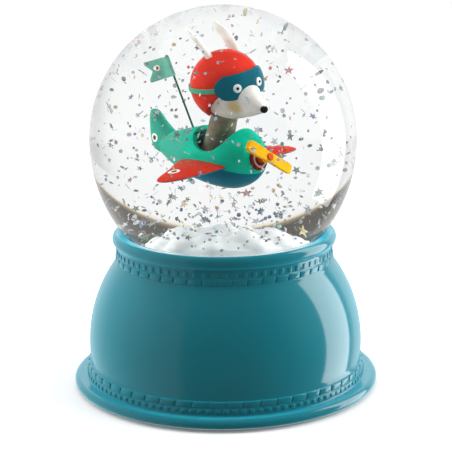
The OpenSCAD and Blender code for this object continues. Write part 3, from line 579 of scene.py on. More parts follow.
def spread_over(tree, shader, film, bump, depth):
    """Feeds a film's colour, gloss and height to a shader."""
    tree.links.new(film["Colour"], shader.inputs["Base Color"])
    tree.links.new(film["Roughness"], shader.inputs["Roughness"])
    relief = add_node(tree, "ShaderNodeBump", {
        "Height": film["Height"], "Strength": bump, "Distance": depth})
    tree.links.new(relief.outputs["Normal"], shader.inputs["Normal"])


def paint(name, colour, shade=None, place=FIGURE, patch=0.22, peel=2.4, gloss=(0.26, 0.42), coat=0.0,
          bump=0.12, index=PAINT_IN_LIQUID):
    """A painted finish."""
    material, tree, shader = start_material(name)
    film = add_node(tree, "ShaderNodeGroup", {
        "Vector": place_vector(tree, place), "Colour": colour, "Shade": shade or darker(colour, 0.84),
        "Patch": patch, "Peel": peel, "Gloss low": gloss[0], "Gloss high": gloss[1],
    }, node_tree=shared_group("Paint film", paint_film_group))
    spread_over(tree, shader, film.outputs, bump, PEEL_DEPTH)
    set_inputs(material, {"IOR": index, "Coat Weight": coat, "Coat Roughness": 0.06})
    return material


def lay_over(material, factor, colour):
    """Lays a colour over a material's present colour by a mask."""
    tree = material.node_tree
    base = tree.nodes["Principled BSDF"].inputs["Base Color"]
    tree.links.new(blend_colours(tree, factor, base.links[0].from_socket, colour), base)


def lay_ring_mark(material, place, radii, ring_colour, dot_colour):
    """Paints a ring with a dot in it about the Z axis of a place."""
    tree = material.node_tree
    outer, inner, dot = radii
    mark = add_node(tree, "ShaderNodeGroup", {
        "Vector": place_vector(tree, place), "Outer": outer, "Inner": inner, "Dot": dot,
    }, node_tree=shared_group("Ring mark", ring_mark_group))
    lay_over(material, mark.outputs["Ring"], ring_colour)
    lay_over(material, mark.outputs["Dot"], dot_colour)


def moulded(name, colour, grain=1.6, gloss=(0.38, 0.6), metallic=0.0, bump=0.25):
    """A moulded plastic, rubber or rolled metal finish."""
    material, tree, shader = start_material(name)
    group = add_node(tree, "ShaderNodeGroup", {
        "Vector": place_vector(tree), "Colour": colour, "Shade": darker(colour, 0.8), "Grain": grain,
        "Gloss low": gloss[0], "Gloss high": gloss[1],
    }, node_tree=shared_group("Moulded grain", moulded_grain_group))
    spread_over(tree, shader, group.outputs, bump, GRAIN_DEPTH)
    set_inputs(material, {"Metallic": metallic})
    return material


def clear(name, colour, index):
    """A clear finish that bends what is seen through it and lets the lamps and soft light through."""
    material, tree, shader = start_material(name)
    streaks = ramp(tree, noise(tree, place_vector(tree), 0.05, 3.0), 0.3, 0.7)
    tint = blend_colours(tree, streaks, colour, grey(1.0))
    tree.links.new(tint, shader.inputs["Base Color"])
    set_inputs(material, {"Roughness": 0.0, "Transmission Weight": 1.0, "IOR": index})
    path = add_node(tree, "ShaderNodeLightPath").outputs
    through = add_node(tree, "ShaderNodeBsdfTransparent", {"Color": colour}).outputs[0]
    lamps = mix_shaders(tree, path["Is Shadow Ray"], shader.outputs[0], through)
    soft = mix_shaders(tree, path["Is Diffuse Ray"], lamps, through)
    tree.links.new(soft, tree.nodes["Material Output"].inputs["Surface"])
    return material


class SNOWGLOBE_OT_stage(bpy.types.Operator):
    """Places the camera, the floor, the light panels and the studio behind them"""

    bl_idname = "snow_globe.stage"
    bl_label = "Camera, floor and light"

    def execute(self, context):
        stage = context.scene.snow_globe_stage
        context.scene.view_settings.view_transform = "Standard"
        self.camera(context, stage)
        self.panels(stage)
        self.floor()
        self.studio(context)
        return {"FINISHED"}

    def camera(self, context, stage):
        """The camera at the photograph's angle."""
        data = bpy.data.cameras.new("Camera")
        data.lens = stage.lens
        data.sensor_width = 36.0
        data.clip_start = 0.01
        camera = add_object("Camera", data)
        camera.matrix_world = (
            Matrix.Translation(stage.camera)
            @ Matrix.Rotation(math.pi / 2 - stage.pitch, 4, "X")
            @ Matrix.Rotation(stage.roll, 4, "Z")
        )
        context.scene.camera = camera

    def panels(self, stage):
        """Soft light panels that face the middle and aren't seen through the glass."""
        # Each panel gives its place, the height it faces, its size, its brightness and if gloss shows it
        panels = (
            ("Right panel", (0.655, 0.183, 0.25), 0.25, (0.42, 1.2), stage.side_panel, True),
            ("Fill panel", (0.56, -0.10, 0.28), 0.07, (0.50, 0.50), stage.fill_panel, False),
            ("Left panel", (-0.60, 0.08, 0.30), 0.07, (0.60, 0.60), stage.left_panel, False),
            ("Front panel", (-0.20, -0.75, 0.50), 0.07, (0.60, 0.60), stage.front_panel, False),
            ("Top panel", (-0.02, 0.04, 1.0), 0.07, (0.80, 0.80), stage.top_panel, False),
        )
        for name, place, aim, size, brightness, shows in panels:
            data = bpy.data.lights.new(name, "AREA")
            data.shape = "RECTANGLE"
            data.size, data.size_y = size
            data.energy = brightness * math.pi * size[0] * size[1]
            panel = add_object(name, data)
            panel.location = place
            towards = Vector((0, 0, aim)) - Vector(place)
            panel.rotation_euler = towards.to_track_quat("-Z", "Y").to_euler()
            panel.visible_transmission = False
            panel.visible_glossy = shows

    def floor(self):
        """A pale floor with a painted glow and painted shade, that keeps the object's shadow and can be
        looked through from below.
        """
        bm = bmesh.new()
        bmesh.ops.create_grid(bm, x_segments=1, y_segments=1, size=4.0)
        floor = add_object("floor", to_mesh(bm, "floor"))
        material, tree, shader = start_material("Pale floor")
        set_inputs(material, {"Roughness": 0.9, "Specular IOR Level": 0.1})
        path = add_node(tree, "ShaderNodeLightPath").outputs
        # Bounce rays meet a darker grey than the camera sees, so the floor throws less light back onto
        # the object
        pale = blend_colours(tree, path["Is Diffuse Ray"], grey(0.86), grey(0.42))
        tree.links.new(pale, shader.inputs["Base Color"])
        spot = add_node(tree, "ShaderNodeTexCoord").outputs["Object"]
        axis = axes(tree, spot)
        away = add_node(tree, "ShaderNodeVectorMath", {0: spot}, operation="LENGTH").outputs["Value"]
        # Camera rays see a painted glow that grows away from the base, so the floor turns white far off
        # and stays greyer close to the base, a painted shade over its real shadow
        lift = ramp(tree, away, 0.06, 0.17, 0.1, 0.7)
        white = add_node(tree, "ShaderNodeEmission", {
            "Strength": math_node(tree, "MULTIPLY", path["Is Camera Ray"], lift)})
        lit_with_painted_glow = add_node(tree, "ShaderNodeAddShader", {0: shader.outputs[0], 1: white.outputs[0]})
        # Seen through the globe, the floor is a glow with painted shade: dimmer at the right, and a
        # painted shadow close to the base
        turn = math_node(tree, "ARCTAN2", axis["X"], axis["Y"])
        level = math_node(tree, "MULTIPLY", ramp(tree, turn, 0.4, 0.76, 1.01, 0.74),
                          ramp(tree, away, 0.07, 0.16, 0.75, 1.0))
        level = math_node(tree, "MULTIPLY", level, ramp(tree, away, 0.075, 0.1, 0.1, 1.0))
        painted_floor_through_glass = add_node(tree, "ShaderNodeEmission", {"Strength": level})
        seen = mix_shaders(tree, path["Is Transmission Ray"], lit_with_painted_glow.outputs[0], painted_floor_through_glass.outputs[0])
        behind = add_node(tree, "ShaderNodeNewGeometry").outputs["Backfacing"]
        nothing = add_node(tree, "ShaderNodeBsdfTransparent").outputs[0]
        tree.links.new(mix_shaders(tree, behind, seen, nothing),
                       tree.nodes["Material Output"].inputs["Surface"])
        floor.data.materials.append(material)
        floor.visible_glossy = False

    def studio(self, context):
        """White behind the object, and a dim studio above and in front of it."""
        world = bpy.data.worlds.new("Studio")
        world.use_nodes = True
        context.scene.world = world
        tree = world.node_tree
        tree.nodes.clear()
        direction = add_node(tree, "ShaderNodeTexCoord").outputs["Generated"]
        axis = axes(tree, direction)
        # Seen through the globe, the white backdrop ends in a warm fringe below the dim ceiling
        backdrop = colour_ramp(tree, axis["Z"], (
            (0.09, grey(1.0)), (0.105, (0.95, 0.88, 0.72, 1.0)),
            (0.12, (0.36, 0.29, 0.2, 1.0)), (0.14, (0.13, 0.12, 0.1, 1.0)),
            (0.6, (0.11, 0.105, 0.095, 1.0)), (1.0, grey(0.6))))
        # Brightness round the object, by the turn from the camera's side towards its right
        turn = math_node(tree, "ARCTAN2", axis["X"], math_node(tree, "MULTIPLY", axis["Y"], -1.0))
        share = math_node(tree, "ADD", math_node(tree, "DIVIDE", turn, math.tau), 0.5)
        levels = ((0.0, 1.1), (0.083, 0.85), (0.167, 0.5), (0.25, 0.38), (0.385, 0.3), (0.41, 0.1),
                  (0.66, 0.1), (0.75, 0.2), (0.865, 0.3), (0.885, 0.95), (1.0, 1.1))
        around = colour_ramp(tree, share, [(place, grey(level)) for place, level in levels])
        overhead = ramp(tree, axis["Z"], 0.35, 0.95)
        light = blend_colours(tree, overhead, around, grey(0.15))
        lamp = add_node(tree, "ShaderNodeBackground", {"Color": light, "Strength": 1.0})
        through = add_node(tree, "ShaderNodeBackground", {"Color": backdrop, "Strength": 1.01})
        white = add_node(tree, "ShaderNodeBackground", {"Color": grey(1.0), "Strength": 1.0})
        path = add_node(tree, "ShaderNodeLightPath").outputs
        glass = mix_shaders(tree, path["Is Transmission Ray"], lamp.outputs[0], through.outputs[0])
        sky = mix_shaders(tree, path["Is Camera Ray"], glass, white.outputs[0])
        add_node(tree, "ShaderNodeOutputWorld", {"Surface": sky})


class SNOWGLOBE_OT_base(bpy.types.Operator):
    """Turns the lacquered base and lays the rope and dentil mouldings round it"""

    bl_idname = "snow_globe.base"
    bl_label = "Base and mouldings"

    def execute(self, context):
        base = context.scene.snow_globe_base
        lacquer = paint("Turquoise lacquer", base.lacquer, darker(base.lacquer, 0.93), IN_MM, patch=0.03,
                        peel=1.1, gloss=(0.11, 0.17), coat=0.7, bump=0.05, index=PAINT_IN_AIR)
        set_inputs(lacquer, {
            "Sheen Weight": 0.9, "Sheen Roughness": 0.5, "Sheen Tint": (0.08, 0.75, 1.0, 1.0)})
        sizes = {key: getattr(base, key) / MM for key in (
            "foot_radius", "foot_low", "crest", "body_radius", "dome_height", "collar_radius",
            "rim_radius", "flange_edge", "wall")}
        put_piece(lathe(self.profile(**sizes), 192, closed=True), "base_shell_body", [lacquer],
                  nodes=("base_shell",), crease=30)
        collar = sizes["collar_radius"]
        body = sizes["body_radius"]
        foot_top = sizes["foot_low"] + 2 * sizes["flange_edge"]
        collar_low = self.collar_height(body, sizes["dome_height"], collar)
        # Each row gives its radius, its height, and its blocks' size, slant and softness
        rows = {
            "collar_dentils": (collar - 0.76, collar_low + 4.1, (1.3, 1.9, 2.0), 0.1, 0.3),
            "collar_rope": (collar - 0.46, collar_low + 1.4, (1.3, 5.0, 2.0), 0.28, 0.3),
            "foot_rope": (body + 0.02, foot_top + 3.9, (1.6, 5.7, 2.1), 0.28, 0.35),
            "foot_dentils": (body + 0.6, foot_top + 1.45, (1.4, 1.9, 1.5), 0.1, 0.3),
        }
        for name, row in rows.items():
            put_piece(self.brick_row(getattr(base, name), *row), name, [lacquer],
                      crease=60)
        return {"FINISHED"}

    def collar_height(self, body, dome, collar):
        """Height at which the dome meets the collar."""
        return dome + math.sqrt(body * body - collar * collar)

    def profile(self, foot_radius, foot_low, crest, body_radius, dome_height, collar_radius, rim_radius,
                flange_edge, wall):
        """The closed outline of the shell, from the foot up to the rim and down inside."""
        foot_top = foot_low + 2 * flange_edge
        collar_low = self.collar_height(body_radius, dome_height, collar_radius)
        # The rolled rim ends in a small lip from which a bowl slopes down to the glass
        lip_turn = 55
        lip_radius = 0.7
        inset = rim_radius - lip_radius
        lip_height = crest - lip_radius
        rim = (collar_radius + 1.2 - rim_radius, lip_height - inset * math.sin(math.radians(lip_turn)))
        lip = (rim[0] + inset * math.cos(math.radians(lip_turn)), lip_height)
        seat = crest - rim_radius
        recess = body_radius - 0.4
        inside = body_radius - wall
        shoulder = math.degrees(math.acos(collar_radius / body_radius))
        inner_turn = shoulder + 1.4
        inner_top = inside * math.cos(math.radians(inner_turn))
        plate_seat = foot_low + 2.8
        bowl_edge = 34.75
        gasket_edge = 36.0
        neck_hole = 32.5
        return (
            [(recess, foot_low)]
            + arc((foot_radius - flange_edge, foot_low + flange_edge), flange_edge, -90, 100, 20)
            + arc((body_radius + 1.7, foot_top + 0.5), 0.6, 266, 180, 6)
            + [(body_radius + 0.95, foot_top + 2.5), (body_radius + 0.6, foot_top + 2.75)]
            + arc((body_radius - 0.1, foot_top + 4.4), 0.65, 0, 90, 6)
            + arc((0, dome_height), body_radius, -7, shoulder - 0.6, 40)
            + arc((collar_radius + 0.4, collar_low + 0.45), 0.5, 240, 180, 4)
            + [(collar_radius - 0.1, collar_low + 2.55), (collar_radius - 0.35, collar_low + 2.8)]
            + [(collar_radius - 0.35, crest - 2 * rim_radius + 0.2)]
            + arc(rim, rim_radius, -58, lip_turn, 22)
            + arc(lip, lip_radius, 62, 115, 8)
            + [(bowl_edge, seat + 0.55), (bowl_edge, seat - 0.05)]
            + [(gasket_edge, seat - 0.65), (gasket_edge, seat - 1.35)]
            + [(neck_hole, seat - 1.35), (neck_hole, seat - 4.0), (inner_top, seat - 4.0)]
            + arc((0, dome_height), inside, inner_turn, 0, 24)
            + [(inside, plate_seat), (recess, plate_seat)]
        )

    def brick_row(self, count, radius, height, size, slant, softness):
        """A ring of rounded blocks, leaning along the ring where it is a rope."""
        bm = bmesh.new()
        bmesh.ops.create_cube(bm, size=1.0)
        bmesh.ops.scale(bm, vec=size, verts=bm.verts)
        bmesh.ops.bevel(bm, geom=bm.edges[:], offset=softness, offset_type="OFFSET", segments=2,
                        profile=0.5, affect="EDGES", clamp_overlap=True, material=-1)
        lean = Matrix(((1, 0, 0, radius), (0, 1, slant, 0), (0, 0, 1, height), (0, 0, 0, 1)))
        move(bm, lean)
        bmesh.ops.spin(bm, geom=bm.verts[:] + bm.edges[:] + bm.faces[:], cent=(0, 0, 0), axis=(0, 0, 1),
                       angle=math.tau * (count - 1) / count, steps=count - 1, use_duplicate=True)
        bmesh.ops.recalc_face_normals(bm, faces=bm.faces)
        return bm


class SNOWGLOBE_OT_globe(bpy.types.Operator):
    """Blows the glass globe and fills it with liquid"""

    bl_idname = "snow_globe.globe"
    bl_label = "Glass and liquid"

    # Depth of the globe's lower half as a share of its radius
    fullness = 1.075

    def execute(self, context):
        filling = context.scene.snow_globe_filling
        radius = globe_high.x / MM
        middle = globe_high.z / MM - radius
        shoulder = context.scene.snow_globe_base.crest / MM
        neck = filling.neck / MM
        neck_low = globe_low.z / MM
        outer = self.outline(radius, middle, shoulder, neck, run=0.85, rest=35.0)
        glass = clear("Blown glass", (0.985, 0.995, 0.995, 1.0), GLASS)
        put_piece(lathe(outer + [(neck, neck_low), (0, neck_low)], 144), "glass_globe_ball", [glass],
                  nodes=("glass_globe",), crease=40)
        wall = filling.wall / MM
        bore = filling.bore / MM
        low = stopper_high.z / MM + 0.02
        skin = self.outline(radius - wall, middle, shoulder + wall, bore, run=1.9, rest=31.0)
        # The liquid's surface is where glass gives way to liquid, so its index is the ratio of the two
        liquid = clear("Clear liquid", (0.985, 0.995, 1.0, 1.0), LIQUID / GLASS)
        put_piece(lathe(skin + [(bore, low), (0, low)], 144), "liquid_body", [liquid],
                  nodes=("liquid_fill",), crease=40)
        return {"FINISHED"}

    def outline(self, radius, middle, shoulder, neck, run, rest):
        """Half an outline: round above, fuller below, with a shoulder that rests in the rim's bowl."""
        deep = radius * self.fullness
        drop = math.asin((middle - shoulder) / deep)
        lower = [(radius * math.cos(turn), middle - deep * math.sin(turn))
                 for turn in spread(0, drop, 40)]
        # The shoulder carries on down for a run and then bends to meet the ball at the radius of rest
        start = Vector(lower[-1])
        lean = (middle - start.y) / (self.fullness ** 2 * start.x)
        corner = start - Vector((lean, 1.0)) * run
        stop = Vector((rest, middle - math.sqrt(radius ** 2 - rest ** 2)))
        bend = [tuple(start.lerp(corner, share).lerp(corner.lerp(stop, share), share))
                for share in spread(0, 1, 12)]
        turns = [math.degrees(math.acos(width / radius)) for width in (rest, neck)]
        return (
            arc((0, middle), radius, 90, 0, 40) + lower[1:] + bend[1:]
            + arc((0, middle), radius, -turns[0], -turns[1], 8)[1:]
        )


class SNOWGLOBE_OT_snow(bpy.types.Operator):
    """Heaps the moulded snow under the aeroplane and stands the clear rod in it"""

    bl_idname = "snow_globe.snow"
    bl_label = "Snow and rod"

    def execute(self, context):
        filling = context.scene.snow_globe_filling
        white = paint("Moulded snow", filling.snow, darker(filling.snow, 0.94), IN_MM, patch=0.16,
                      peel=1.6, gloss=(0.34, 0.6), bump=0.3)
        set_inputs(white, {
            "Subsurface Weight": 0.25, "Subsurface Radius": (0.004, 0.0045, 0.005),
            "Subsurface Scale": 1.0})
        bm = self.lumps(mound_low.z / MM, mound_high.z / MM, mound_high.x / MM)
        piece = put_piece(bm, "snow_heap", [white], nodes=("snow_mound",), crease=180)
        remesh = piece.modifiers.new("Fuse", "REMESH")
        remesh.mode = "VOXEL"
        remesh.voxel_size = 0.0007
        remesh.use_smooth_shade = True
        melt = piece.modifiers.new("Melt", "SMOOTH")
        melt.factor = 0.6
        melt.iterations = 9
        self.rod()
        return {"FINISHED"}

    def lumps(self, low, high, radius):
        """Overlapping lumps of snow: a broad bed, rings of drifts and a higher crown."""
        bed = lathe([(0, low), (radius - 1.0, low), (radius + 0.4, low + 2), (radius - 0.5, low + 8),
                     (radius - 6, low + 12.5), (0, low + 13.5)], 48)
        places = random.Random(7)
        # Each ring gives its number of lumps, their distance from the middle, height and size
        rings = ((11, radius - 4.6, low + 8.2, 5.8), (10, radius - 9.0, low + 11.2, 5.6),
                 (6, radius - 16.5, high - 8.9, 5.9))
        for count, away, height, size in rings:
            for step in range(count):
                turn = math.tau * (step + places.uniform(-0.25, 0.25)) / count
                lump = size * places.uniform(0.82, 1.0)
                spot = Vector((math.cos(turn) * away, math.sin(turn) * away,
                               height + places.uniform(-1.0, 0.3)))
                matrix = Matrix.Translation(spot) @ Matrix.Diagonal((1.05, 1.05, 0.9, 1.0))
                bmesh.ops.create_icosphere(bed, subdivisions=3, radius=lump, matrix=matrix)
        crown = Matrix.Translation((-1.5, 0, high - 8.6))
        bmesh.ops.create_icosphere(bed, subdivisions=3, radius=6.2, matrix=crown)
        shrink = Matrix.Scale(0.93, 4)
        return move(bed, Matrix.Translation((1.0, 0, low)) @ shrink @ Matrix.Translation((0, 0, -low)))

    def rod(self):
        """The clear rod that carries the aeroplane."""
        middle = (rod_low + rod_high) / 2 / MM
        radius = (rod_high.x - rod_low.x) / 2 / MM
        low = rod_low.z / MM
        high = rod_high.z / MM
        profile = [(0, low), (radius - 0.2, low), (radius, low + 0.2), (radius, high - 0.2),
                   (radius - 0.2, high), (0, high)]
        bm = move(lathe(profile, 40), Matrix.Translation((middle.x, middle.y, 0)))
        # The rod stands in liquid, so its index is the ratio of clear acrylic to liquid
        acrylic = clear("Clear acrylic", (0.97, 0.99, 0.99, 1.0), ACRYLIC / LIQUID)
        put_piece(bm, "clear_rod", [acrylic], nodes=("support_rod",))


class SNOWGLOBE_OT_aeroplane(bpy.types.Operator):
    """Shapes the fuselage, belly, wings, fin, flag and mast"""

    bl_idname = "snow_globe.aeroplane"
    bl_label = "Aeroplane"

    # The fuselage's largest radius and where it is, the runs to its ends, its taper, tail and joint
    radius = 9.3
    fattest = 6.8
    front = 10.8
    rear = 29.3
    taper = 1.8
    tail_end = -20.4
    tail_lift = 0.0085
    lift_start = -5.0
    split = -4.65

    def execute(self, context):
        colours = context.scene.snow_globe_pilot
        underside = paint("Underside paint", colours.belly)
        hull_paint = self.hull_paint(colours)
        cockpit = paint("Cockpit paint", colours.cockpit, gloss=(0.45, 0.6))
        self.fuselage(hull_paint, cockpit)
        self.belly(hull_paint)
        self.wings(colours, underside)
        self.fin(colours)
        self.mast_and_flag(colours)
        return {"FINISHED"}

    def hull_paint(self, colours):
        """Green paint, paler over the tail half, above a blue belly that runs up between the ends."""
        material = paint("Fuselage paint", colours.green)
        tree = material.node_tree
        axis = axes(tree, place_vector(tree, FIGURE))
        lay_over(material, ramp(tree, axis["X"], -3.0, -8.0), colours.tail)
        # The belly's edge falls away towards both ends, and faster towards the tail
        reach = math_node(tree, "SUBTRACT", axis["X"], 2.0)
        back = math_node(tree, "MINIMUM", reach, 0.0)
        ends = math_node(tree, "MULTIPLY", math_node(tree, "MULTIPLY", reach, reach), 0.0143)
        tail = math_node(tree, "MULTIPLY", math_node(tree, "MULTIPLY", back, back), 0.036)
        bend = math_node(tree, "ADD", ends, tail)
        above = math_node(tree, "ADD", math_node(tree, "ADD", axis["Z"], bend), 1.2)
        lay_over(material, ramp(tree, above, 0.1, -0.1), colours.belly)
        return material

    def girth(self, u):
        """Radius of the fuselage along its length."""
        if u > self.fattest:
            return self.radius * math.sqrt(max(0.0, 1 - ((u - self.fattest) / self.front) ** 2))
        return self.radius * (1 - ((self.fattest - u) / self.rear) ** self.taper)

    def hull(self):
        """The whole body, with its tail lifted and its nose cut square to the shaft."""
        stations = spread(self.tail_end, NOSE_CUT + 0.8, 48)
        side = [(self.girth(u), u) for u in stations]
        profile = [(0, self.tail_end - 0.2)] + side + [(0, stations[-1])]
        bm = move(lathe(profile, 80), ALONG_U)
        for vert in bm.verts:
            vert.co.z += self.tail_lift * max(0.0, self.lift_start - vert.co.x) ** 2
        return slice_off(bm, (NOSE_CUT, 0, 0), (math.cos(SHAFT_TILT), 0, math.sin(SHAFT_TILT)))

    def fuselage(self, green, cockpit):
        """The green upper body with its saddle and its hollow cockpit."""
        bm = slice_off(self.hull(), (0, 0, self.split), (0.03, 0, -1))
        saddle = Matrix.Translation((3.3, 0, 10.5)) @ ALONG_V
        bm = carve(bm, drum(7.8, 30, saddle))
        middle = 2.5
        half_long = 5.9
        half_wide = 7.5
        well = Matrix.Translation((middle, 0, 8.0)) @ Matrix.Diagonal((half_long, half_wide, 1.0, 1.0))
        bm = carve(bm, drum(1.0, 20, well))
        round_edges(bm, 0.28, 3)
        for face in bm.faces:
            spot = face.calc_center_median()
            away = ((spot.x - middle) / half_long) ** 2 + (spot.y / half_wide) ** 2
            if away < 1.01 and spot.z > self.split + 0.5:
                face.material_index = 1
        put_piece(bm, "fuselage_top", [green, cockpit], FIGURE, ("fuselage_upper",),
                  crease=45)

    def belly(self, finish):
        """The blue lower body."""
        bm = slice_off(self.hull(), (0, 0, self.split - 0.02), (-0.03, 0, 1))
        round_edges(bm, 0.2)
        put_piece(bm, "fuselage_bottom", [finish], FIGURE, ("fuselage_belly",), crease=45)

    def wings(self, colours, underside):
        """Two rounded wings, red above with a ring mark, blue below."""
        # Each station gives its distance out, its middle along u, half its chord and half its thickness
        stations = (
            (4.4, 2.0, 9.6, 1.5), (8.7, 2.3, 9.0, 1.45), (13.5, 3.0, 7.6, 1.35), (17.8, 3.3, 6.3, 1.2),
            (21.9, 2.9, 5.0, 1.0), (25.0, 2.3, 3.8, 0.8), (27.1, 1.9, 2.6, 0.55), (28.2, 1.6, 1.5, 0.3),
            (28.6, 1.5, 0.5, 0.1),
        )
        height = self.split + 3.5
        droop = 0.003
        for side, name, node in ((-1, "wing_right", "right_wing"), (1, "wing_left", "left_wing")):
            rings = [(Matrix.Translation((u, side * v, height - droop * v * v)) @ ALONG_V, chord, thick)
                     for v, u, chord, thick in stations]
            bm = loft(rings, 48)
            for face in bm.faces:
                if face.normal.z < -0.25:
                    face.material_index = 1
            red = self.wing_paint(colours, side, height)
            put_piece(bm, name, [red, underside], FIGURE, (node,), crease=50, soften=1)

    def wing_paint(self, colours, side, height):
        """Red paint with a pale ring and a dark dot near the tip."""
        name = "Wing paint left" if side > 0 else "Wing paint right"
        material = paint(name, colours.wing, darker(colours.wing, 0.93), gloss=(0.24, 0.34), bump=0.02)
        centre = FIGURE @ Matrix.Translation((1.2, side * 20.4, height))
        lay_ring_mark(material, centre, (1.9, 1.05, 0.65), colours.ear, from_screen(40, 44, 46))
        return material

    def fin(self, colours):
        """The fin that sweeps up out of the tail, with a ring mark on each side."""
        green = paint("Fin paint", colours.tail)
        centre = FIGURE @ Matrix.Translation((-18.9, 0, 3.0)) @ ALONG_V
        lay_ring_mark(green, centre, (1.15, 0.65, 0.5), colours.ear, colours.nose)
        # Each station gives the front edge, the rear edge, the height and half the thickness
        stations = (
            (-4.0, -20.0, -1.5, 3.6), (-8.0, -21.0, 1.2, 3.2), (-11.5, -21.4, 3.2, 2.6),
            (-14.0, -21.5, 5.0, 2.1), (-16.0, -21.6, 6.8, 1.75), (-17.4, -21.6, 8.4, 1.45),
            (-18.3, -21.4, 9.6, 1.1), (-19.2, -20.9, 10.3, 0.6),
        )
        rings = [(Matrix.Translation(((front + rear) / 2, 0, w)), (front - rear) / 2, thick)
                 for front, rear, w, thick in stations]
        put_piece(loft(rings, 48), "tail_sweep", [green], FIGURE, ("tail_fin",), crease=60,
                  soften=1)

    def mast_and_flag(self, colours):
        """A thin mast behind the cockpit with a swallow-tailed flag."""
        lean = math.radians(-24)
        mast = FIGURE @ Matrix.Translation((-6.8, 0, 5.7)) @ Matrix.Rotation(lean, 4, "Y")
        steel = paint("Mast paint", from_screen(26, 110, 90), gloss=(0.2, 0.35))
        shank = [(0, -3), (0.4, -3), (0.4, 0.8), (0.28, 1.2), (0.28, 21.9)]
        knob = arc((0, 22.0), 0.4, -20, 90, 7)
        put_piece(lathe(shank + knob, 24), "mast_rod", [steel], mast, ("flag_mast",))
        green = paint("Flag paint", colours.flag, gloss=(0.25, 0.4))
        mark = mast @ Matrix.Translation((-4.1, 0, 19.7)) @ ALONG_V
        lay_ring_mark(green, mark, (0.8, 0.5, 0.4), colours.ear, colours.wing)
        length = 8.9
        notch = 2.3
        middle = 19.6
        half_height = 2.45
        thickness = 0.8
        bm = bmesh.new()
        bmesh.ops.create_grid(bm, x_segments=28, y_segments=14, size=1.0)
        for vert in bm.verts:
            along = (vert.co.x + 1) / 2
            up = vert.co.y
            reach = length - notch * (1 - abs(up))
            wave = 0.45 * math.sin(along * math.tau * 0.8) * along
            vert.co = (1.2 - along * reach, wave, middle + up * half_height)
        bmesh.ops.solidify(bm, geom=bm.faces[:], thickness=thickness)
        bmesh.ops.translate(bm, vec=(0, -thickness / 2, 0), verts=bm.verts)
        tidy(bm)
        round_edges(bm, 0.22)
        # The flag goes round the mast, so it swells there
        for vert in bm.verts:
            vert.co.y *= 1 + 0.9 * math.exp(-(vert.co.x / 1.1) ** 2)
        put_piece(bm, "flag_swallowtail", [green], mast, ("flag",), crease=50)


class SNOWGLOBE_OT_propeller(bpy.types.Operator):
    """Makes the nose disc, the pin and the propeller that turns on it"""

    bl_idname = "snow_globe.propeller"
    bl_label = "Nose and propeller"

    def execute(self, context):
        colours = context.scene.snow_globe_pilot
        disc = paint("Nose paint", colours.nose, place=SHAFT)
        ring = paint("Ring paint", colours.ring, place=SHAFT)
        pin = paint("Pin paint", colours.pin, place=SHAFT, gloss=(0.2, 0.3))
        profile = [(0, 0), (3.25, 0)] + arc((2.85, 0.55), 0.45, 0, 90, 6) + [(0, 1.05)]
        put_piece(lathe(profile, 64), "nose_disc", [disc], SHAFT, ("nose_plate",))
        band = arc((2.3, 0.98), 0.3, 0, 360, 17)[:-1]
        put_piece(lathe(band, 64, closed=True), "nose_band", [ring], SHAFT, ("nose_ring",))
        shank = [(0, -3), (0.9, -3), (0.9, 2.0), (1.2, 2.1), (1.2, 3.05), (0.9, 3.1), (0.9, 5.5)]
        head = [(1.15, 5.5)] + arc((0.95, 5.75), 0.2, 0, 90, 6) + [(0, 6.05)]
        put_piece(lathe(shank + head, 40), "pin_shank", [pin], SHAFT, ("propeller_pin",))
        self.propeller(colours)
        return {"FINISHED"}

    def propeller(self, colours):
        """A flat paddle bar with a rounded hub, at the photograph's turn."""
        yellow = paint("Propeller paint", colours.propeller, place=SHAFT, gloss=(0.22, 0.36))
        turn = Matrix.Rotation(math.radians(-36), 3, "Z")
        along_shaft = 4.25
        bm = bmesh.new()
        bmesh.ops.create_grid(bm, x_segments=10, y_segments=60, size=1.0)
        for vert in bm.verts:
            across = vert.co.x
            along = vert.co.y * PROPELLER_REACH
            out = abs(along) / PROPELLER_REACH
            width = 1.6 + 0.15 * smooth_step(out, 0.05, 0.55)
            width *= math.sqrt(1 - smooth_step(out, 0.86, 1.0) * 0.5)
            pitch = math.copysign(0.16 * smooth_step(out, 0.1, 0.5), along)
            lift = across * width * math.tan(pitch) + 0.12 * across ** 2
            vert.co = (across * width, along, along_shaft + lift)
        bmesh.ops.solidify(bm, geom=bm.faces[:], thickness=-1.15)
        tidy(bm)
        round_edges(bm, 0.34, 3)
        bmesh.ops.rotate(bm, cent=(0, 0, 0), matrix=turn, verts=bm.verts)
        hub = [(0.98, 3.25), (1.3, 3.25)] + arc((1.2, 3.65), 0.4, -60, 0, 4) + [(1.6, 4.9)]
        hub += arc((1.2, 5.05), 0.4, 0, 90, 6) + [(0.98, 5.45)]
        join(bm, lathe(hub, 48, closed=True))
        put_piece(bm, "propeller_paddle", [yellow], SHAFT, ("propeller",),
                  PROPELLER_BODY, crease=45)


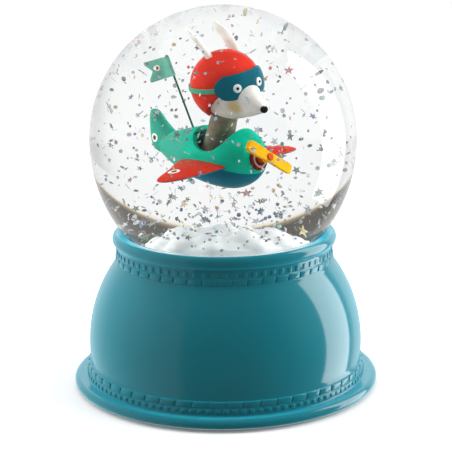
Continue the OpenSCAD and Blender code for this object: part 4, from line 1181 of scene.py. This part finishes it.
class SNOWGLOBE_OT_pilot(bpy.types.Operator):
    """Shapes the pilot's neck, head, helmet, goggles, strap and ears"""

    bl_idname = "snow_globe.pilot"
    bl_label = "Pilot"

    # Radius and wall of the helmet, in the head's own size
    helmet = 10.1
    helmet_wall = 0.85

    def execute(self, context):
        colours = context.scene.snow_globe_pilot
        self.neck(colours)
        self.head(colours)
        self.helmet_shell(colours)
        self.goggles(colours)
        self.strap(colours)
        self.ears(colours)
        return {"FINISHED"}

    def neck(self, colours):
        """The coat's neck, rising out of the cockpit."""
        coat = paint("Coat", colours.coat, darker(colours.coat, 0.7), patch=0.5, peel=3.2,
                     gloss=(0.55, 0.75), bump=0.5)
        profile = [(0, -2.1), (4.95, -2.1), (5.0, -1.6), (5.0, 0.2), (4.75, 1.0), (4.45, 2.2),
                   (4.25, 4.5), (4.1, 8.0), (4.0, 11.5), (4.1, 14.6), (0, 14.6)]
        bm = lathe(profile, 56)
        # The neck leans forward as it rises
        for vert in bm.verts:
            vert.co.x += 0.5 + 0.34 * max(0.0, vert.co.z)
        put_piece(bm, "coat_neck", [coat], FIGURE, ("pilot_neck",), soften=1)

    def head(self, colours):
        """A round head that runs out into a tapered snout with a dark nose."""
        cream = paint("Face", colours.face, place=HEAD, patch=0.3, gloss=(0.35, 0.5))
        tree = cream.node_tree
        vector = place_vector(tree, HEAD)
        for side in (-1, 1):
            cheek = add_node(tree, "ShaderNodeVectorMath", {0: vector, 1: (8.6, 4.2 * side, -3.6)},
                             operation="DISTANCE")
            warm = ramp(tree, cheek.outputs["Value"], 3.4, 0.8, 0.0, 0.85)
            lay_over(cream, warm, colours.blush)
        # Each point of the snout gives its radius and its distance from the head's middle
        snout = [(7.75, 4.5), (6.4, 6.9), (5.0, 9.4), (3.65, 11.8), (2.65, 14.0), (1.95, 15.7),
                 (1.4, 16.7), (0.7, 17.2), (0, 17.35)]
        profile = arc((0, 0), 9.0, -90, 15, 26) + snout
        droop = Matrix.Rotation(math.radians(13), 4, "Y")
        bm = move(lathe(profile, 64), droop @ ALONG_U @ Matrix.Diagonal((1.0, 0.96, 1.0, 1.0)))
        for vert in bm.verts:
            if vert.co.z < 0:
                jaw = smooth_step(vert.co.x, -1, 5) * (1 - smooth_step(vert.co.x, 11, 16))
                vert.co.z *= 1 + 0.16 * jaw
        put_piece(bm, "face_and_snout", [cream], HEAD, ("pilot_head",), crease=60, soften=1)
        black = paint("Nose black", from_screen(26, 26, 28), place=HEAD, gloss=(0.16, 0.26))
        tip = droop @ Matrix.Translation((17.3, 0, 0.25)) @ Matrix.Diagonal((0.95, 1.08, 1.0, 1.0))
        put_piece(ball(1.12, tip, 40, 20), "nose_button", [black], HEAD, ("nose_tip",))

    def helmet_shell(self, colours):
        """A close helmet open at the face, with flaps that come down to a point."""
        red = paint("Helmet paint", colours.helmet, place=HEAD, gloss=(0.16, 0.28))
        bm = ball(self.helmet, Matrix.Identity(4), 96, 64)
        bm = carve(bm, ball(self.helmet - self.helmet_wall, Matrix.Identity(4), 96, 64))
        opening = [(6.4, 2.2), (14.0, 7.2), (14.0, -14.0), (-6.1, -14.0), (5.6, 0.0)]
        bm = carve(bm, prism(opening, 14.0))
        neck_hole = Matrix.Translation((-3.2, 0, -11.0)) @ Matrix.Diagonal((1.0, 1.12, 1.0, 1.0))
        bm = carve(bm, drum(5.0, 12, neck_hole, 64))
        round_edges(bm, 0.3, 3)
        put_piece(bm, "helmet_shell", [red], HEAD, ("flying_helmet",), crease=45)

    def wrapped(self, columns, rows, rule, radius, thickness, stretch=1.0):
        """A band round the head, from a rule that gives each grid point a turn and a height."""
        bm = bmesh.new()
        bmesh.ops.create_grid(bm, x_segments=columns, y_segments=rows, size=1.0)
        for vert in bm.verts:
            turn, height = rule(vert.co.x, vert.co.y)
            away = math.sqrt(radius * radius - height * height)
            vert.co = (math.cos(math.radians(turn)) * away * stretch,
                       math.sin(math.radians(turn)) * away, height)
        bmesh.ops.recalc_face_normals(bm, faces=bm.faces)
        bmesh.ops.solidify(bm, geom=bm.faces[:], thickness=thickness)
        return tidy(bm)

    def goggle_point(self, across, up):
        """Turn from the nose in degrees, and height, of a point of the goggle frame."""
        turn = across * 60
        side = abs(turn)
        upper = 5.5 + 0.9 * math.cos(math.radians(min(90.0, side * 1.5)))
        lower = -1.3 + 1.8 * math.exp(-((turn / 16.0) ** 2)) + 0.6 * smooth_step(side, 38, 58)
        middle = (upper + lower) / 2
        half = (upper - lower) / 2 * math.sqrt(max(0.05, 1 - (max(0.0, side - 42) / 18.5) ** 2))
        return turn, middle + half * up

    def goggles(self, colours):
        """A wrap-round goggle frame with two round pale lenses."""
        teal = paint("Goggle paint", colours.goggles, place=HEAD, gloss=(0.18, 0.3))
        bm = self.wrapped(84, 20, self.goggle_point, radius=10.8, thickness=1.1, stretch=1.02)
        round_edges(bm, 0.3, 3)
        put_piece(bm, "goggle_frame", [teal], HEAD, ("goggle_frames",), crease=50)
        white = paint("Lens white", from_screen(240, 242, 242), place=HEAD, gloss=(0.08, 0.16))
        dark = paint("Lens dark", from_screen(24, 26, 30), place=HEAD, gloss=(0.08, 0.16))
        lenses = bmesh.new()
        for side in (-1, 1):
            facing = (
                Matrix.Rotation(math.radians(22 * side), 4, "Z")
                @ Matrix.Rotation(math.radians(78), 4, "Y")
                @ Matrix.Translation((0, 0, 10.85))
            )
            disc = lathe([(0, -0.4), (1.3, -0.4)] + arc((1.05, 0.15), 0.25, 0, 80, 5) + [(0, 0.5)], 40)
            join(lenses, move(disc, facing))
            spot = lathe([(0, 0.2), (0.46, 0.2), (0.46, 0.5)] + arc((0, 0.3), 0.5, 40, 90, 5), 24)
            for face in spot.faces:
                face.material_index = 1
            join(lenses, move(spot, facing))
        put_piece(lenses, "goggle_lens_pair", [white, dark], HEAD, ("goggle_lenses",),
                  crease=50)

    def strap_point(self, across, up):
        """Turn from the nose in degrees, and height, of a point of the strap."""
        turn = 180 + across * 124
        return turn, 0.55 + 1.8 * math.cos(math.radians(turn)) + up * 0.75

    def strap(self, colours):
        """The strap that holds the goggles, sloping down round the back of the helmet."""
        green = paint("Strap paint", colours.strap, place=HEAD, gloss=(0.4, 0.55))
        bm = self.wrapped(120, 6, self.strap_point, radius=self.helmet + 0.42, thickness=0.5)
        round_edges(bm, 0.15)
        put_piece(bm, "goggle_band", [green], HEAD, ("goggle_strap",), crease=50)

    def ears(self, colours):
        """Two long soft ears that lean back."""
        for side, name, node in ((-1, "ear_right", "right_ear"), (1, "ear_left", "left_ear")):
            pale = paint("Ear left" if side > 0 else "Ear right", colours.ear, place=HEAD,
                         gloss=(0.45, 0.6))
            tree = pale.node_tree
            height = axes(tree, place_vector(tree, HEAD))["Z"]
            lay_over(pale, ramp(tree, height, 12.0, 8.0, 0.0, 0.3), from_screen(240, 188, 176))
            root = Vector((-1.7, -2.9, 6.5)) if side < 0 else Vector((-0.2, 4.7, 5.8))
            rings = []
            for rise in spread(0, 90, 13):
                step = math.sin(math.radians(rise))
                back = 4.2 * step + 6.7 * step * step
                out = 2.6 * step - 2.05 * step * step
                up = 10.2 * step - 0.9 * step * step
                spot = root + Vector((-back, side * out, up))
                # The lean follows the slopes of back and up
                lean = math.atan2(4.2 + 13.4 * step, 10.2 - 1.8 * step)
                tip = math.sqrt(max(0.02, 1 - max(0.0, step - 0.72) ** 2 / 0.08))
                full = tip * (1.0 - 0.24 * step)
                turn = Matrix.Rotation(-lean, 4, "Y") @ Matrix.Rotation(math.radians(45 * side), 4, "Z")
                rings.append((Matrix.Translation(spot) @ turn, 1.75 * full, 1.12 * full))
            put_piece(loft(rings, 28), name, [pale], HEAD, (node,), crease=60, soften=1)


class SNOWGLOBE_OT_flakes(bpy.types.Operator):
    """Scatters star and dot flakes through the liquid, clear of everything in it"""

    bl_idname = "snow_globe.flakes"
    bl_label = "Flakes"

    # Tints of the foil with the share of the flakes in each, in hundredths
    tints = {
        (0.62, 0.64, 0.68): 40, (0.90, 0.90, 0.92): 22, (0.44, 0.52, 0.66): 12, (0.42, 0.60, 0.54): 7,
        (0.70, 0.44, 0.40): 5, (0.54, 0.46, 0.66): 6, (0.86, 0.74, 0.46): 8,
    }
    # Pieces that the flakes are inside, so these aren't in their way
    around = ("base_shell_body", "glass_globe_ball", "liquid_body")
    # One flake in this many lies on the snow
    resting_step = 24
    # Share of floating places tried low in the globe, and their heights in radii from its middle
    low_share = 0.26
    low_zone = (-0.75, -0.4)
    # Distances kept from the glass, from the stopper, from the rod on the snow and from every piece
    off_glass = 0.003
    off_stopper = 0.004
    off_rod = 0.003
    off_piece = 0.0006
    # Height of a resting flake over the snow, and how level the snow is there
    off_snow = 0.0002
    level_snow = 0.5
    # Along the shaft, in millimetres, where the propeller turns
    sweep = (1.5, 7.0)
    # Farthest that a place inside a piece can be from its surface
    piece_depth = 0.009
    # Thickness of a flake as a share of its radius
    thinness = 0.07

    def execute(self, context):
        filling = context.scene.snow_globe_filling
        places = random.Random(filling.seed)
        foil = self.foil()
        graph = context.evaluated_depsgraph_get()
        trees = {piece.name: BVHTree.FromObject(piece, graph) for piece in context.scene.objects
                 if piece.get("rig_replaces") and piece.name not in self.around}
        # Each kind gives its name, count, radius, points, waist, material slot and CAD node
        kinds = (
            ("star_flakes", filling.stars, filling.star_radius, 5, 0.42, "star_foil", "star_glitter"),
            ("dot_flakes", filling.dots, filling.dot_radius, 6, 0.92, "dot_foil", "dot_glitter"),
        )
        for name, count, size, points, waist, slot, node in kinds:
            bm = bmesh.new()
            layer = bm.loops.layers.float_color.new("tint")
            made = 0
            while made < count:
                if made % self.resting_step == 0:
                    place = self.on_snow(places, trees)
                else:
                    place = self.afloat(places, filling, trees, size)
                if place:
                    self.flake(bm, layer, places, place, size * places.uniform(0.55, 1.05), points, waist)
                    made += 1
            bmesh.ops.recalc_face_normals(bm, faces=bm.faces)
            put_piece(bm, name, [foil], Matrix.Identity(4), (node,), crease=20)
        return {"FINISHED"}

    def afloat(self, places, filling, trees, size):
        """A free place and turn in the liquid, or nothing where a piece is in the way."""
        radius = globe_high.x - filling.wall - size - self.off_glass
        spot = Vector([places.uniform(-1, 1) for axis in "xyz"]) * radius
        if places.random() < self.low_share:
            spot.z = places.uniform(*self.low_zone) * radius
        inside = spot.length < radius
        spot.z += globe_high.z - globe_high.x
        if not inside or spot.z < stopper_high.z + self.off_stopper:
            return None
        if self.in_sweep(spot, size / MM):
            return None
        if any(self.too_near(tree, spot, size + self.off_piece) for tree in trees.values()):
            return None
        tip = Matrix.Rotation(math.acos(places.uniform(-1, 1)), 4, "X")
        swing = Matrix.Rotation(places.uniform(0, math.tau), 4, "Z")
        return Matrix.Translation(spot) @ swing @ tip

    def in_sweep(self, spot, size):
        """Whether a flake at a place would be struck by the turning propeller."""
        near = SHAFT.inverted() @ spot
        start, stop = self.sweep
        return math.hypot(near.x, near.y) < PROPELLER_REACH + size and start - size < near.z < stop + size

    def on_snow(self, places, trees):
        """A place lying on the snow, or nothing where the snow isn't below."""
        reach = mound_high.x - 0.002
        above = Vector((places.uniform(-reach, reach), places.uniform(-reach, reach), globe_high.z))
        hit, normal = trees["snow_heap"].ray_cast(above, Vector((0, 0, -1)))[:2]
        if hit is None or normal.z < self.level_snow:
            return None
        if self.too_near(trees["clear_rod"], hit, self.off_rod):
            return None
        facing = normal.to_track_quat("Z", "Y").to_matrix().to_4x4()
        return Matrix.Translation(hit + normal * self.off_snow) @ facing

    def too_near(self, tree, spot, gap):
        """Whether a place is within a gap of a piece, or inside it."""
        hit, normal, _, distance = tree.find_nearest(spot)
        return distance < gap or (distance < self.piece_depth and (spot - hit).dot(normal) < 0)

    def flake(self, bm, layer, places, place, size, points, waist):
        """One thin flake: a many-sided plate whose every second corner is drawn in."""
        made = bmesh.ops.create_circle(bm, cap_ends=True, segments=2 * points, radius=size)["verts"]
        bmesh.ops.scale(bm, vec=(waist, waist, 1), verts=made[1::2])
        face = made[0].link_faces[0]
        top = bmesh.ops.extrude_face_region(bm, geom=[face])["geom"]
        raised = [part for part in top if isinstance(part, bmesh.types.BMVert)]
        bmesh.ops.translate(bm, vec=(0, 0, size * self.thinness), verts=raised)
        verts = made + raised
        turn = Matrix.Rotation(places.uniform(0, math.tau), 4, "Z")
        bmesh.ops.transform(bm, matrix=place @ turn, verts=verts)
        tint = places.choices(list(self.tints), list(self.tints.values()))[0]
        for corner in {loop for vert in verts for loop in vert.link_loops}:
            corner[layer] = (*tint, 1.0)

    def foil(self):
        """Metallic film in each flake's own tint."""
        material, tree, shader = start_material("Flake foil")
        tint = add_node(tree, "ShaderNodeAttribute", attribute_name="tint").outputs["Color"]
        dull = ramp(tree, noise(tree, place_vector(tree), 1.4, 2.0), 0.3, 0.7, 0.14, 0.34)
        tree.links.new(tint, shader.inputs["Base Color"])
        tree.links.new(dull, shader.inputs["Roughness"])
        set_inputs(material, {"Metallic": 0.75})
        return material


class SNOWGLOBE_OT_works(bpy.types.Operator):
    """Gives the underside and the works inside the base their finishes"""

    bl_idname = "snow_globe.works"
    bl_label = "Underside and works"

    def execute(self, context):
        steel = moulded("Rolled steel", from_screen(176, 178, 182), 3.0, (0.24, 0.4), 1.0, 0.12)
        finishes = {
            "screw_steel": steel,
            "contact_steel": steel,
            "plate_dark": moulded("Dark plate", from_screen(44, 50, 54)),
            "foot_rubber": moulded("Rubber", from_screen(38, 38, 40), 2.4, (0.68, 0.86), bump=0.35),
            "seal_rubber": moulded("Silicone seal", from_screen(222, 226, 226), 2.4, (0.5, 0.7),
                                   bump=0.2),
            "switch_black": moulded("Switch plastic", from_screen(34, 34, 36)),
            "knob_grey": moulded("Knob plastic", from_screen(120, 124, 126)),
            "cup_white": moulded("Cup plastic", from_screen(226, 228, 228)),
            "board_green": moulded("Circuit board", from_screen(28, 104, 66), 0.8, (0.3, 0.42), bump=0.1),
            "lamp_epoxy": moulded("Lamp resin", from_screen(232, 236, 226), 0.6, (0.12, 0.2), bump=0.05),
            "cell_case": moulded("Cell wrap", from_screen(150, 152, 150), 0.5, (0.2, 0.3), bump=0.05),
            "lead_red": moulded("Red insulation", from_screen(170, 36, 30), 2.0, (0.4, 0.5)),
            "lead_black": moulded("Black insulation", from_screen(30, 30, 32), 2.0, (0.4, 0.5)),
        }
        for node in frame["nodes"].values():
            for entry in node.material_slots:
                slot = entry.material.name.split(".")[0]
                if slot in finishes:
                    entry.material = finishes[slot]
        return {"FINISHED"}


class SNOWGLOBE_PT_pieces(bpy.types.Panel):
    """Lists the steps that build the snow globe"""

    bl_idname = "SNOWGLOBE_PT_pieces"
    bl_label = "Snow globe"
    bl_space_type = "VIEW_3D"
    bl_region_type = "UI"
    bl_category = "Snow globe"

    def draw(self, context):
        for operator in OPERATORS:
            self.layout.operator(operator.bl_idname)


SETTINGS = {
    "snow_globe_base": SnowGlobeBase,
    "snow_globe_filling": SnowGlobeFilling,
    "snow_globe_pilot": SnowGlobePilot,
    "snow_globe_stage": SnowGlobeStage,
}
OPERATORS = (
    SNOWGLOBE_OT_stage,
    SNOWGLOBE_OT_base,
    SNOWGLOBE_OT_globe,
    SNOWGLOBE_OT_snow,
    SNOWGLOBE_OT_aeroplane,
    SNOWGLOBE_OT_propeller,
    SNOWGLOBE_OT_pilot,
    SNOWGLOBE_OT_flakes,
    SNOWGLOBE_OT_works,
)


def register():
    """Registers the settings, the operators and the panel."""
    for key, group in SETTINGS.items():
        bpy.utils.register_class(group)
        setattr(bpy.types.Scene, key, PointerProperty(type=group))
    for kind in (*OPERATORS, SNOWGLOBE_PT_pieces):
        bpy.utils.register_class(kind)


def unregister():
    """Removes what register added."""
    for kind in (SNOWGLOBE_PT_pieces, *reversed(OPERATORS)):
        bpy.utils.unregister_class(kind)
    for key, group in SETTINGS.items():
        delattr(bpy.types.Scene, key)
        bpy.utils.unregister_class(group)


def main():
    """Builds every piece in order."""
    register()
    for operator in OPERATORS:
        family, name = operator.bl_idname.split(".")
        getattr(getattr(bpy.ops, family), name)()


if __name__ == "__main__":
    main()
